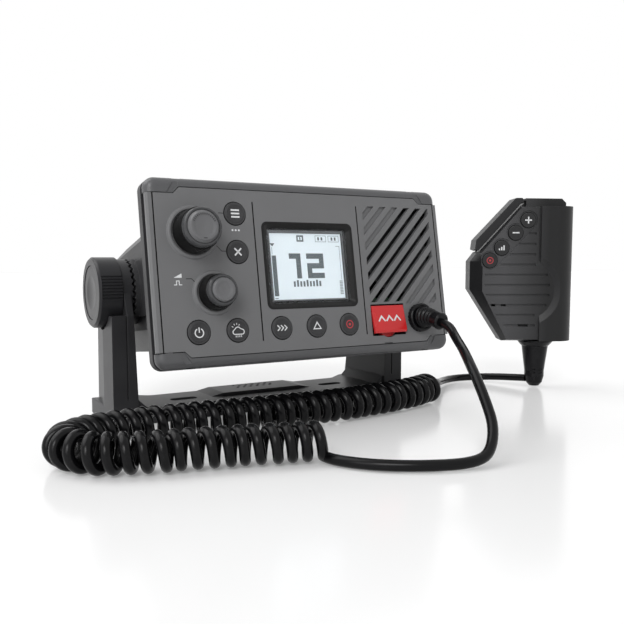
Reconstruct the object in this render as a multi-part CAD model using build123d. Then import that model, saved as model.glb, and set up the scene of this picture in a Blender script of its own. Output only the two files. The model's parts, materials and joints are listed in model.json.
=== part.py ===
from build123d import *
from math import radians, sin, cos, tan, pi
import os

os.makedirs("parts", exist_ok=True)

# Fixed-mount marine VHF radio on a tilting bracket, with a coiled cord and a hand microphone.
# Millimetres.  Shared frame: origin midway between the two mounting slots on the underside of
# the bracket, X to the right of the user, Y away from the user, Z up.

# ---- fits ----
running_fit = 0.05        # radial, shafts and studs in their bores
slip_gap = 0.25           # between parts that slide past each other
seat_gap = 0.05           # between faces that rest on each other across a joint
panel_joint = 0.4         # visible joint lines between mouldings

# ---- tilt axis and radio face ----
pivot_y = 6.0
pivot_z = 74.3
rest_tilt = 10.0          # degrees, face turned up
face_reach = 74.0         # tilt axis to the front face
face_half_w = 92.6
face_half_h = 49.0
corner_r = 6.0

# ---- gimbal bracket ----
base_t = 9.0
base_front = -17.6
base_back = 21.2          # back edge between the arms
arm_back = 31.6
arm_outer_x = 99.3
arm_inner_x = 84.6        # at the foot
arm_inner_top_x = 86.9    # at the top, after the moulding draft
arm_flat_back = 2.1       # where the outer face turns inwards
arm_back_inset = 4.4
foot_w = 20.0
waist_w = 13.0
foot_fillet = 5.0
collar_r = 19.0
collar_outer_x = 91.0
knob_room = 1.4           # round the clamp knob
horn_z = 62.0             # top of the arm's outer rib
slot_x = 52.0
slot_r = 3.5
slot_len = 17.0
pad_half_w = 35.0
pad_h = 1.6
pad_depth = 24.0
pocket_depth = 5.0
pocket_wall = 3.0
pocket_count = 4
dimple_r = 1.1
dimple_pitch = 4.6
dimple_columns = 6
dimple_rows = 3

# ---- toothed tilt rings ----
teeth_count = 30
tooth_h = 1.1
tooth_tip_gap = 0.2
tooth_inner_r = 12.5
arm_ring_x = 85.9         # root of the bracket's teeth
stud_r = 4.0

# ---- clamp knobs ----
clamp_r = 20.2
clamp_len = 13.1
clamp_gap = 0.4           # knob to collar
clamp_disc_r = 15.2
clamp_disc_t = 1.6
clamp_rim = 1.2
grip_groove_r = 0.6
grip_groove_step = 5.0
grip_groove_count = 8
grip_sectors = 3
washer_r = 9.0
washer_t = 1.5

# ---- face panel and lips ----
panel_half_h = 43.4
cap_half_h = 40.2         # joint line at the corner caps
cap_x = 78.2
cap_run = 3.2
panel_t = 3.0
lip_depth = 5.2
lip_round = 4.6
side_chamfer = 1.0
groove_w = 0.7
groove_d = 0.8
side_groove_x = 89.2
mid_groove_x = (-34.3, 32.2)
mid_groove_half_h = 37.3
lip_band_w = 3.2
lip_band_d = 0.5
lip_band_x = (78.8, 72.5)
drain_x = 46.9
drain_w = 7.0

# ---- keys ----
key_hole_r = 6.5
key_r = 6.05
key_proud = 0.5
key_flange_r = 7.3
key_flange_t = 0.8
key_travel = 0.8
key_mat_t = 1.4
key_places = {
    "menu_key": (-45.0, 30.6),
    "cancel_key": (-45.1, 10.2),
    "power_key": (-70.1, -31.0),
    "weather_key": (-48.6, -31.0),
    "scan_key": (-22.7, -31.0),
    "tri_watch_key": (-0.9, -31.0),
    "channel_key": (20.5, -31.0),
}

# ---- display ----
window_x = -1.1
window_z = 3.0
bezel_w = 55.4
bezel_h = 46.0
window_w = 50.6
window_h = 41.4
window_sink = 1.5
window_t = 1.4
view_w = 46.4
view_h = 37.1

# ---- rotary knobs: centre, base radius, rim radius, height, cap radius ----
channel_knob_at = (-69.2, 20.2)
channel_knob_r = 11.4
channel_rim_r = 9.8
channel_knob_h = 15.0
channel_cap_r = 7.7
volume_knob_at = (-60.0, -11.1)
volume_knob_r = 9.2
volume_rim_r = 7.7
volume_knob_h = 12.4
volume_cap_r = 6.1
knob_lift = 1.2
knob_push = 0.8
knob_collar_gap = 0.4
knob_collar_w = 1.8
knob_collar_h = 1.1
grip_t = 1.6
cap_t = 1.8
shaft_r = 3.0
shaft_flat = 2.2
encoder_w = 13.0
encoder_t = 6.6

# ---- loudspeaker grille ----
grille_left = 36.6
grille_right = 85.6
grille_top = 37.6
grille_bottom = -19.0
grille_pitch = 8.8        # along X
grille_slot_w = 3.0
grille_count = 12
grille_first = 5.2        # X minus Z of the first slot
grille_open = range(3, 9)
blind_depth = 1.3
speaker_r = 23.0
speaker_at = (60.6, 9.5)

# ---- distress cover and button ----
cover_x = 48.0
cover_w = 22.8
cover_top = -21.2
cover_bottom = -37.2
cover_t = 1.6
cover_flare = 2.1
cover_pin_r = 0.8
cover_pin_z = -22.6
cover_pin_in = 1.3        # pin axis behind the face
tub_w = 23.6
tub_top = -20.3
tub_bottom = -38.6
tub_depth = 5.6
tub_wall = 1.2
distress_r = 7.0
distress_at = (48.0, -32.6)
distress_travel = 1.0
distress_front_in = 1.5

# ---- microphone socket, locking ring and plug ----
mic_at = (70.8, -29.4)
mic_socket_r = 6.0
lock_ring_r = 8.5
lock_ring_bore = 7.0
lock_ring_t = 3.6
lock_ring_knurls = 24
boot_r = 6.4
boot_waist_r = 5.0
boot_end_r = 4.6
plug_len = 22.0
boot_from = 1.5           # where the boot starts to droop, in front of the socket's nose
boot_droop = 8.0          # degrees, under the weight of the cord
boot_ribs = 4
boot_rib_pitch = 2.6

# ---- rear housing ----
flange_t = 6.4
gasket_t = 2.4
gasket_inset = 1.6
body_half_w = 79.5
body_top = 42.0           # at the flange
body_bottom = 40.0
body_top_back = 35.0      # at the back, after the draft
body_bottom_back = 33.0
body_chamfer = 13.0
body_back = 52.0
body_wall = 3.0
bay_half_w = 84.0         # opening of the flange, behind the face
bay_half_h = 39.4
bay_floor_t = 1.6
fin_count = 13
fin_pitch = 9.0
fin_t = 2.4
fin_h = 5.0
fin_bottom = -4.0
fin_top = 31.0
socket_z = -17.0
insert_r = 6.5
insert_len = 14.0
case_screw_r = 2.0
case_screw_head_r = 3.6
case_screw_at = (84.6, 41.0)

# ---- boards ----
board_t = 1.6
control_board_left = -80.0
control_board_right = 36.0
control_strip_right = 82.0    # below the loudspeaker
control_strip_top = -15.5
control_board_h = 76.0
control_board_in = 10.0   # behind the face
radio_board_w = 140.0
radio_board_front = -47.0
radio_board_d = 90.0
radio_board_z = -18.0

# ---- cord ----
cord_r = 2.6
coil_r = 9.8
lead_route = [
    (70.8, -93.95, 59.58),
    (70.8, -106.2, 60.0),
    (62.5, -120.0, 54.6),
    (51.0, -138.5, 45.4),
    (44.4, -152.5, 34.6),
    (41.2, -162.0, 22.5),
    (37.0, -168.0, 13.0),
    (29.0, -171.2, 6.6),
    (16.5, -170.8, 3.5),
    (2.0, -167.2, 2.75),
    (-13.0, -161.3, 2.7),
    (-25.0, -152.0, 2.7),
    (-32.0, -141.0, 2.7),
    (-35.0, -132.2, 3.1),
]
coil_route = [
    (-34.0, -133.0, 9.8),
    (-58.0, -125.0, 9.8),
    (-82.0, -118.0, 9.8),
    (-106.0, -112.0, 9.8),
    (-126.0, -103.5, 9.8),
    (-135.0, -87.5, 9.8),
    (-129.0, -71.0, 9.8),
    (-112.0, -62.5, 9.8),
    (-88.0, -60.0, 9.8),
    (-58.0, -61.5, 9.8),
    (-26.0, -65.0, 9.8),
    (8.0, -66.5, 9.8),
    (40.0, -64.5, 9.8),
    (68.0, -59.5, 9.8),
    (90.0, -52.5, 9.8),
    (108.0, -43.5, 9.8),
]
tail_route = [
    (107.2, -43.2, 13.4),
    (119.0, -32.5, 9.4),
    (133.0, -17.0, 5.2),
    (149.0, -2.5, 3.2),
    (166.0, 3.5, 2.9),
    (181.0, -1.0, 3.2),
    (190.0, -11.5, 4.2),
    (194.8, -24.0, 5.2),
    (199.6, -36.0, 5.9),
]

# ---- handset, in its own frame: origin under its strain relief, X right, Y back, Z up ----
handset_at = (203.6, -40.7)
handset_yaw = -31.0
handset_split = 0.0
handset_front_y = -14.0
handset_back_y = 13.0
handset_bottom = 34.6
handset_top = 130.6
handset_left = -49.9
handset_right = 23.7
handset_wall = 2.2
column_left = -1.7
column_front = -15.6
column_round = 13.6
outline_mid = [
    (-26.5, handset_bottom),
    (handset_left, 71.4),
    (handset_left, 91.6),
    (-44.6, 98.6),
    (-15.6, handset_top),
    (6.0, handset_top),
    (6.0, handset_bottom),
]
outline_front = [
    (-24.5, 36.0),
    (-42.2, 70.4),
    (-42.2, 91.8),
    (-43.4, 97.0),
    (-15.2, 129.4),
    (4.0, 129.4),
    (4.0, 36.0),
]
outline_back = [
    (-24.5, 37.6),
    (-45.5, 71.6),
    (-45.5, 90.4),
    (-41.2, 96.4),
    (-14.2, 127.0),
    (4.0, 127.0),
    (4.0, 37.6),
]
ring_at = (-12.6, 71.4)
ring_outer_r = 25.7
ring_inner_r = 21.4
sound_slot_h = 1.7
sound_slot_d = 0.9
sound_slots = [
    (111.0, -10.2, -4.8),
    (103.7, -16.6, -4.8),
    (96.4, -23.0, -4.8),
    (89.1, -29.6, -4.8),
    (81.9, -40.6, 3.7),
    (74.7, -40.6, 5.4),
    (67.6, -39.6, 5.4),
    (60.5, -36.6, 3.4),
    (53.4, -32.4, -4.8),
    (46.1, -26.4, -4.6),
]
sound_holes = [
    (60.5, -35.4, -32.6),
    (60.5, -28.6, -25.2),
    (46.1, -16.2, -9.2),
]
handset_keys = {
    "handset_plus_key": (-10.7, 120.5),
    "handset_minus_key": (-19.3, 111.7),
    "handset_level_key": (-28.9, 101.1),
    "handset_channel_key": (-37.1, 92.2),
}
handset_key_r = 5.3
handset_key_hole_r = 5.6
key_bay_r = 6.7
key_bay_depth = 0.7
handset_key_travel = 0.7
bar_travel = 1.5
bar_inward = (0.743, -0.669)
bar_half_t = 9.0
bar_outline = [
    (-46.8, 100.2),
    (-45.9, 106.9),
    (-18.4, 136.4),
    (-13.2, 136.4),
    (-13.2, 134.2),
    (-41.8, 102.2),
    (-44.4, 99.2),
]
crest_half_t = 8.5
relief_collar_r = 12.3
relief_top_r = 9.3
relief_low_r = 6.9
relief_z = 31.0
relief_low_z = 8.0
relief_foot = 0.3

parts = {}


# ---- helpers ----
def plane_at(depth):
    """Sketch plane facing the user at a given Y: X right, Z up."""
    return Plane(origin=(0, depth, 0), x_dir=(1, 0, 0), z_dir=(0, -1, 0))


def slab(sketch, front, back):
    return extrude(plane_at(back) * sketch, back - front)


def spot(place, radius):
    return Pos(place[0], place[1]) * Circle(radius)


def post(place, radius, front, back):
    return slab(spot(place, radius), front, back)


def block(x0, x1, y0, y1, z0, z1):
    middle = Pos((x0 + x1) / 2, (y0 + y1) / 2, (z0 + z1) / 2)
    return middle * Box(x1 - x0, y1 - y0, z1 - z0)


def x_rod(radius, x0, x1, y=0.0, z=0.0):
    return Pos((x0 + x1) / 2, y, z) * Rot(0, 90, 0) * Cylinder(radius, abs(x1 - x0))


def side_prism(points, x0, x1):
    """Closed outline of (y, z) points, extruded from x0 to x1."""
    outline = Plane(origin=(x0, 0, 0), x_dir=(0, 1, 0), z_dir=(1, 0, 0))
    return extrude(outline * make_face(Polyline(*points, close=True)), x1 - x0)


def polygon(points):
    return make_face(Polyline(*points, close=True))


def spun(profile, place, front):
    """Turned part: profile of (radius, depth behind front) points about an axis along Y."""
    axis_at = Plane(origin=(place[0], front, place[1]), x_dir=(1, 0, 0), z_dir=(0, 0, 1))
    face = axis_at * make_face(Polyline(*profile, close=True))
    return revolve(face, Axis((place[0], front, place[1]), (0, 1, 0)))


def mirrored_pair(shape):
    return shape, mirror(shape, Plane.YZ)


def bend_radii(route):
    """Largest smooth bend at each inner point: 0.45 of the shorter run over tan(half the turn)."""
    radii = []
    for before, here, after in zip(route, route[1:], route[2:]):
        run_in = Vector(*here) - Vector(*before)
        run_out = Vector(*after) - Vector(*here)
        half_turn = radians(run_in.get_angle(run_out)) / 2
        radii.append(0.45 * min(run_in.length, run_out.length) / tan(half_turn))
    return radii


def tube(name, route, radius):
    radii = bend_radii(route)
    path = FilletPolyline(*route, radius=radii)
    section = Plane(origin=path @ 0, z_dir=path % 0) * Circle(radius)
    swept = sweep(section, path=path)
    expected = pi * radius**2 * path.length
    print(name, "bend radii", [round(r, 1) for r in radii])
    print(name, "length", round(path.length, 1), "volume ratio", round(swept.volume / expected, 4))
    return swept


def in_radio(shape):
    return Pos(0, pivot_y, pivot_z) * Rot(-rest_tilt, 0, 0) * shape


def in_handset(shape):
    return Pos(handset_at[0], handset_at[1], 0) * Rot(0, 0, handset_yaw) * shape


def keep(name, shape):
    parts[name] = shape


# ---- toothed rings ----
def crown_teeth(root_x, direction, phase):
    """Radial ridges on a ring about the tilt axis, pointing along X by direction."""
    half_w = pi * collar_r / teeth_count
    tip_x = root_x + direction * tooth_h
    foot_x = root_x - direction * 0.3
    outline = [(foot_x, -half_w), (foot_x, half_w), (tip_x, 0)]
    ridge_plane = Plane(origin=(0, 0, tooth_inner_r - 1), x_dir=(1, 0, 0), z_dir=(0, 0, 1))
    ridge = extrude(ridge_plane * polygon(outline), collar_r - tooth_inner_r + 2)
    step = 360 / teeth_count
    teeth = [Rot(step * (i + phase), 0, 0) * ridge for i in range(teeth_count)]
    band = x_rod(collar_r, foot_x, tip_x) - x_rod(tooth_inner_r, foot_x - 1, tip_x + 1)
    return (Part() + teeth) & band


# ---- gimbal bracket ----
def base_outline():
    foot_x = arm_outer_x - foot_w
    waist_x = foot_x - waist_w
    points = [
        (-arm_outer_x, base_front),
        (arm_outer_x, base_front),
        (arm_outer_x, arm_back),
        (foot_x, arm_back),
        (waist_x, base_back),
        (-waist_x, base_back),
        (-foot_x, arm_back),
        (-arm_outer_x, arm_back),
    ]
    outline = polygon(points)
    waist = outline.vertices().filter_by(lambda v: abs(v.X) < arm_outer_x - 1)
    return fillet(waist, 6.0)


def base_pad():
    """Raised platform on the middle of the base, with sloping ends."""
    top = pad_half_w - 8
    points = [(-pad_half_w, base_t), (pad_half_w, base_t), (top, base_t + pad_h), (-top, base_t + pad_h)]
    pad = slab(polygon(points), base_back - pad_depth, base_back)
    for column in range(dimple_columns):
        for row in range(dimple_rows):
            x = (column - (dimple_columns - 1) / 2 + 0.5 * (row % 2)) * dimple_pitch
            y = base_back - 4.0 - row * dimple_pitch * 0.8
            pad -= Pos(x, y, base_t + pad_h) * Cylinder(dimple_r, 1.2)
    return pad


def base_plate():
    plate = extrude(base_outline(), base_t)
    plate = fillet(plate.edges().group_by(Axis.Z)[-1], 0.8)
    room = (2 * (slot_x - slot_len / 2 - pocket_wall) - pocket_wall * (pocket_count - 1)) / pocket_count
    depth_y = base_back - base_front - 2 * pocket_wall
    middle_y = (base_back + base_front) / 2
    for i in range(pocket_count):
        x = (i - (pocket_count - 1) / 2) * (room + pocket_wall)
        plate -= Pos(x, middle_y, pocket_depth / 2) * Box(room, depth_y, pocket_depth)
    plate += base_pad()
    for side in (-1, 1):
        plate -= Pos(side * slot_x, 0, 0) * extrude(SlotOverall(slot_len, 2 * slot_r), 2 * base_t)
    return plate


def right_arm():
    front = base_front
    web = [
        (front, 0),
        (arm_back, 0),
        (arm_back, base_t + 4),
        (pivot_y + collar_r, pivot_z),
        (pivot_y - collar_r, pivot_z),
        (front, horn_z),
    ]
    arm = side_prism(web, arm_inner_top_x, arm_outer_x)
    arm += x_rod(collar_r, arm_inner_top_x, collar_outer_x, pivot_y, pivot_z)
    draft = [(arm_inner_x, 0), (arm_inner_top_x + 1, 0), (arm_inner_top_x + 1, horn_z), (arm_inner_top_x, horn_z)]
    wall = slab(polygon(draft), front, arm_back)
    arm += wall & side_prism(web, arm_inner_x - 1, arm_outer_x)
    back_cut = [
        (arm_outer_x, arm_flat_back),
        (arm_outer_x + 5, arm_flat_back),
        (arm_outer_x + 5, arm_back + 5),
        (arm_outer_x - arm_back_inset * 1.15, arm_back + 5),
    ]
    arm -= extrude(polygon(back_cut), pivot_z + 30)
    arm -= x_rod(clamp_r + knob_room, collar_outer_x, arm_outer_x + 5, pivot_y, pivot_z)
    above = pivot_z + 40
    arm -= block(collar_outer_x, arm_outer_x + 5, front - 5, arm_back + 5, horn_z, above)
    foot = [(arm_inner_x + 1, base_t - 1), (arm_inner_x - foot_fillet, base_t - 1),
            (arm_inner_x - foot_fillet, base_t), (arm_inner_x, base_t + foot_fillet),
            (arm_inner_x + 1, base_t + foot_fillet)]
    arm += slab(polygon(foot), front + 1.5, arm_back - 3)
    groove = block(collar_outer_x - 0.4, collar_outer_x + 0.3, front - 1, front + 0.6, base_t + 6, horn_z + 2)
    return arm - groove


def toothed_collar():
    ring = Pos(0, pivot_y, pivot_z) * Rot(-rest_tilt, 0, 0) * crown_teeth(arm_ring_x, -1, 0.5)
    collar = x_rod(collar_r, arm_ring_x, collar_outer_x, pivot_y, pivot_z)
    return collar + ring


def gimbal_bracket():
    right = right_arm() + toothed_collar()
    arms = mirrored_pair(right)
    bracket = base_plate() + arms[0] + arms[1]
    for side in (-1, 1):
        bore_from = side * (arm_inner_x - 6)
        bracket -= x_rod(stud_r + 0.3, bore_from, side * (arm_outer_x + 1), pivot_y, pivot_z)
    return bracket


# ---- clamp knobs ----
def clamp_knob():
    """Right-hand clamp knob with its moulded-in stud, axis along X through the tilt axis."""
    inner_x = collar_outer_x + clamp_gap
    outer_x = inner_x + clamp_len
    knob = x_rod(clamp_r, inner_x, outer_x)
    knob = chamfer(knob.edges().group_by(Axis.X)[-1], clamp_rim)
    knob -= x_rod(clamp_disc_r + slip_gap, outer_x - clamp_disc_t, outer_x + 1)
    knob -= x_rod(washer_r + slip_gap, inner_x - 1, collar_outer_x + washer_t + seat_gap)
    groove = x_rod(grip_groove_r, inner_x - 1, outer_x - clamp_rim - 0.6, -clamp_r, 0)
    cuts = []
    for sector in range(grip_sectors):
        for i in range(grip_groove_count):
            angle = sector * 360 / grip_sectors + (i - (grip_groove_count - 1) / 2) * grip_groove_step
            cuts.append(Rot(angle, 0, 0) * groove)
    knob -= cuts
    stud_end = body_half_w - insert_len + 3
    return knob + x_rod(stud_r, stud_end, inner_x + 4)


def clamp_disc():
    outer_x = collar_outer_x + clamp_gap + clamp_len
    disc = x_rod(clamp_disc_r, outer_x - clamp_disc_t, outer_x - 0.3)
    dish = Pos(outer_x + 58.9, 0, 0) * Sphere(60)
    return disc - dish


def clamp_washer():
    ring = x_rod(washer_r, collar_outer_x + seat_gap, collar_outer_x + washer_t)
    return ring - x_rod(stud_r + running_fit, collar_outer_x - 1, collar_outer_x + washer_t + 1)


# ---- front of the radio ----
face_y = -face_reach


def panel_outline(grow):
    """Outline between the two lips, stepped in at the four corner caps."""
    w = face_half_w
    high = panel_half_h + grow
    low = cap_half_h + grow
    step = cap_x - cap_run
    return [
        (-w, -low), (-cap_x, -low), (-step, -high), (step, -high), (cap_x, -low), (w, -low),
        (w, low), (cap_x, low), (step, high), (-step, high), (-cap_x, low), (-w, low),
    ]


def lip():
    """Top lip of the front, a rounded strip with both corner caps."""
    outline = RectangleRounded(2 * face_half_w, 2 * face_half_h, corner_r)
    body = slab(outline, face_y, face_y + lip_depth)
    front_rim = body.faces().sort_by(Axis.Y)[0].edges()
    body = fillet(front_rim.filter_by(lambda e: abs(e.center().Z) > face_half_h - corner_r), lip_round)
    body -= slab(polygon(panel_outline(panel_joint)), face_y - 1, face_y + lip_depth + 1)
    body = body & block(-200, 200, face_y - 1, face_y + lip_depth + 1, 0, 100)
    outer_x, inner_x = lip_band_x
    for side in (-1, 1):
        band = [
            (side * (outer_x + lip_band_w), cap_half_h),
            (side * outer_x, cap_half_h),
            (side * inner_x, face_half_h + 1),
            (side * (inner_x + lip_band_w), face_half_h + 1),
        ]
        body -= slab(polygon(band), face_y - 1, face_y + lip_band_d)
        notch = [(side * inner_x, face_half_h - 0.6), (side * (inner_x + 5), face_half_h - 0.6),
                 (side * (inner_x + 5), face_half_h + 1), (side * inner_x, face_half_h + 1)]
        body -= slab(polygon(notch), face_y, face_y + lip_depth)
    return body


def grille_slot(index):
    """Slanted slot of the grille, cut square at the edges of the grille field."""
    offset = grille_first + index * grille_pitch
    half = grille_slot_w / 2 / cos(radians(45))
    far = 200
    strip = polygon([(offset - half - far, -far), (offset + half - far, -far),
                     (offset + half + far, far), (offset - half + far, far)])
    low = grille_bottom if index < 9 else grille_bottom - 1.5
    field = Pos((grille_left + grille_right) / 2, (grille_top + low) / 2)
    return strip & (field * Rectangle(grille_right - grille_left, grille_top - low))


def cover_tub(grow, front, back):
    """Pocket of the hinged cover, with a round bay for the button below it."""
    height = tub_top - tub_bottom + 2 * grow
    box = Pos(cover_x, (tub_top + tub_bottom) / 2) * Rectangle(tub_w + 2 * grow, height)
    return slab(box + spot(distress_at, distress_r + slip_gap + grow), front, back)


def knob_collar(place, radius):
    """Rounded ridge on the panel round a rotary knob."""
    inner = radius + knob_collar_gap
    outer = inner + knob_collar_w
    profile = [(inner, 0.5), (outer + 0.7, 0.5), (outer + 0.5, 0), (outer - 0.2, -0.8 * knob_collar_h),
               (outer - 0.8, -knob_collar_h), (inner + 0.3, -knob_collar_h), (inner, -0.8)]
    return spun(profile, place, face_y)


def face_panel():
    back = face_y + panel_t
    panel = slab(polygon(panel_outline(0)), face_y, back)
    sides = panel.edges().filter_by(lambda e: abs(e.center().X) > face_half_w - 0.01)
    panel = chamfer(sides.filter_by(lambda e: e.center().Y < face_y + 0.01), side_chamfer)
    panel += cover_tub(tub_wall, face_y + 1, face_y + tub_depth + tub_wall)
    skirt = RectangleRounded(2 * (face_half_w - 4), 2 * (cap_half_h - 0.4), 3)
    skirt_inner = RectangleRounded(2 * (face_half_w - 6), 2 * (cap_half_h - 1.6), 2)
    panel += slab(skirt - skirt_inner, face_y + 1, face_y + lip_depth)
    for place, radius in ((channel_knob_at, channel_knob_r), (volume_knob_at, volume_knob_r)):
        panel += knob_collar(place, radius)
        panel -= post(place, shaft_r + 1.0, face_y - 2, back + 1)
    panel -= cover_tub(0, face_y - 1, face_y + tub_depth)
    panel -= post(distress_at, 2.2, face_y, face_y + tub_depth + 3)
    pin_y = face_y + cover_pin_in
    reach = tub_w / 2 + 1.0
    panel -= x_rod(cover_pin_r + running_fit, cover_x - reach, cover_x + reach, pin_y, cover_pin_z)
    for place in key_places.values():
        panel -= post(place, key_hole_r, face_y - 1, back + 1)
    panel -= post(mic_at, mic_socket_r + slip_gap, face_y - 1, back + 1)
    panel = panel - window_recess()
    for index in range(grille_count):
        depth = panel_t + 1 if index in grille_open else blind_depth
        panel -= slab(grille_slot(index), face_y - 1, face_y + depth)
    for x in mid_groove_x:
        panel -= block(x - groove_w / 2, x + groove_w / 2, face_y - 1, face_y + groove_d,
                       -mid_groove_half_h, mid_groove_half_h)
    for x in (-side_groove_x, side_groove_x):
        panel -= block(x - groove_w / 2, x + groove_w / 2, face_y - 1, face_y + groove_d,
                       -cap_half_h, cap_half_h)
    drain = [(drain_x - drain_w / 2, -panel_half_h - 1), (drain_x + drain_w / 2, -panel_half_h - 1),
             (drain_x + drain_w / 2 - 1, -panel_half_h + 0.6), (drain_x - drain_w / 2 + 1, -panel_half_h + 0.6)]
    return panel - slab(polygon(drain), face_y - 1, face_y + 1.2)


def window_recess():
    """Bevelled frame that narrows from the face down to the window."""
    at = Pos(window_x, window_z)
    outer = plane_at(face_y) * at * RectangleRounded(bezel_w, bezel_h, 3.0)
    inner = plane_at(face_y + window_sink) * at * RectangleRounded(window_w, window_h, 2.0)
    funnel = loft([outer, inner])
    seat = slab(at * RectangleRounded(window_w, window_h, 2.0), face_y + window_sink - 0.01, face_y + panel_t + 1)
    return funnel + seat


def display_window():
    outline = Pos(window_x, window_z) * RectangleRounded(window_w - 0.3, window_h - 0.3, 1.9)
    front = face_y + window_sink
    return slab(outline, front, front + window_t)


def display_module():
    front = face_y + window_sink + window_t + seat_gap
    back = face_y + control_board_in - seat_gap
    case = slab(Pos(window_x, window_z) * Rectangle(window_w + 6, window_h + 6), face_y + panel_t + seat_gap, back)
    screen = slab(Pos(window_x, window_z) * Rectangle(view_w, view_h), front - 1, front + 1.1)
    return case - screen


def key(place):
    button = post(place, key_r, face_y - key_proud, face_y + panel_t + 0.4)
    rim = button.faces().sort_by(Axis.Y)[0].edges()
    button = fillet(rim, 0.4)
    flange_front = face_y + panel_t + seat_gap
    return button + post(place, key_flange_r, flange_front, flange_front + key_flange_t)


def key_mat():
    front = face_y + panel_t + seat_gap + key_flange_t + key_travel + 0.05
    back = front + key_mat_t
    half = key_flange_r
    low_x = key_places["power_key"][0] - half
    high_x = key_places["channel_key"][0] + half
    row_z = key_places["power_key"][1]
    row = slab(Pos((low_x + high_x) / 2, row_z) * RectangleRounded(high_x - low_x, 2 * half, 3), front, back)
    side_x, top_z = key_places["menu_key"]
    side_h = top_z - row_z + 2 * half
    tower = slab(Pos(side_x, (top_z + row_z) / 2) * RectangleRounded(2 * half, side_h, 3), front, back)
    mat = row + tower
    for x, z in (channel_knob_at, volume_knob_at):
        mat -= slab(Pos(x, z) * Rectangle(encoder_w + 2, encoder_w + 2), front - 1, back + 1)
    window = Pos(window_x, window_z) * Rectangle(window_w + 8, window_h + 8)
    return mat - slab(window, front - 1, back + 1)


# ---- rotary knobs ----
def knob_core(place, base_r, rim_r, height):
    """Hard centre of a rotary knob: rim ring on top, tapered barrel under the rubber sleeve."""
    sleeve = grip_t
    low = -knob_lift
    high = -height
    mid = -(height - 3.4)
    barrel = base_r - sleeve
    neck = rim_r + 0.9 - sleeve
    profile = [
        (shaft_r + 1.6, low),
        (barrel, low),
        (neck, mid),
        (rim_r + 0.5, mid),
        (rim_r + 0.3, high + 0.8),
        (rim_r - 0.3, high),
        (rim_r - 1.2, high),
        (rim_r - 1.2, high + cap_t),
        (0, high + cap_t),
        (0, high + cap_t + 2.0),
        (shaft_r + 1.6, high + cap_t + 2.0),
    ]
    core = spun(profile, place, face_y)
    hub = post(place, shaft_r + 1.7, face_y + high + cap_t + 1, face_y + low)
    return core + hub - shaft_bore(place, height)


def shaft_section(place, radius, flat):
    round_part = spot(place, radius)
    return round_part & (Pos(place[0], place[1] + flat - radius) * Rectangle(4 * radius, 2 * radius))


def shaft_bore(place, height):
    section = shaft_section(place, shaft_r + running_fit, shaft_flat + running_fit)
    return slab(section, face_y - height + cap_t + 2.0, face_y + 2)


def knob_grip(place, base_r, rim_r, height):
    mid = -(height - 3.4)
    profile = [
        (base_r - grip_t, -knob_lift),
        (base_r - 0.3, -knob_lift),
        (base_r, -knob_lift - 0.4),
        (rim_r + 1.0, mid + 0.3),
        (rim_r + 0.7, mid),
        (rim_r + 0.9 - grip_t, mid),
    ]
    return spun(profile, place, face_y)


def knob_cap(place, rim_r, cap_r, height):
    """Push cap: a low disc with a finger dish."""
    top = -(height + 1.6)
    seat = -(height - cap_t)
    stem_r = rim_r - 1.2 - slip_gap
    profile = [
        (0, seat), (stem_r, seat), (stem_r, -height), (cap_r, top + 0.8), (cap_r - 0.6, top),
        (cap_r - 1.7, top), (cap_r - 3.0, top + 0.45), (0, top + 0.9),
    ]
    return spun(profile, place, face_y)


def knob_shaft(place, height):
    section = shaft_section(place, shaft_r, shaft_flat)
    shaft = slab(section, face_y - height + cap_t + 2.0 + knob_push + 0.3, face_y + panel_t)
    return shaft + post(place, shaft_r, face_y + panel_t - 1, face_y + panel_t + 4)


def encoder(place):
    front = face_y + panel_t + seat_gap
    body = slab(Pos(place[0], place[1]) * Rectangle(encoder_w, encoder_w), front, front + encoder_t)
    back = face_y + control_board_in
    pins = slab(Pos(place[0], place[1]) * Rectangle(encoder_w - 4, 3), front + encoder_t, back)
    return body + pins - post(place, shaft_r + running_fit, front - 1, face_y + panel_t + 4 + running_fit)


# ---- distress cover and button ----
def distress_cover():
    left = cover_x - cover_w / 2
    right = cover_x + cover_w / 2
    top_y = face_y - 0.2
    low_y = top_y - cover_flare
    plate = side_prism([
        (top_y, cover_top), (low_y, cover_bottom + 1.2), (low_y + 0.5, cover_bottom),
        (low_y + cover_t, cover_bottom), (low_y + cover_t, cover_bottom + 1.6), (top_y + cover_t, cover_top),
    ], left, right)
    barrel_y = face_y + cover_pin_in
    plate += x_rod(1.3, left, right, barrel_y, cover_pin_z)
    plate += side_prism([
        (top_y + 0.5, cover_top), (barrel_y, cover_top), (barrel_y, cover_pin_z - 1.0), (top_y, cover_pin_z - 1.6),
    ], left, right)
    return plate - x_rod(cover_pin_r + running_fit, left - 1, right + 1, barrel_y, cover_pin_z)


def cover_hinge_pin():
    reach = tub_w / 2 + 1.0 - 0.1
    return x_rod(cover_pin_r, cover_x - reach, cover_x + reach, face_y + cover_pin_in, cover_pin_z)


def distress_button():
    front = face_y + distress_front_in
    button = post(distress_at, distress_r, front, face_y + tub_depth - distress_travel - 0.1)
    button = fillet(button.faces().sort_by(Axis.Y)[0].edges(), 0.5)
    stem_back = face_y + tub_depth + tub_wall
    return button + post(distress_at, 2.0, front + 1, stem_back)


# ---- microphone socket and plug ----
def mic_socket():
    nose = face_y - lock_ring_t - 0.6
    back = face_y + control_board_in
    barrel = post(mic_at, mic_socket_r, nose, back)
    nut = slab(Pos(mic_at[0], mic_at[1]) * RegularPolygon(8.4, 6), face_y + panel_t + seat_gap, face_y + panel_t + 3)
    return barrel + nut


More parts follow.
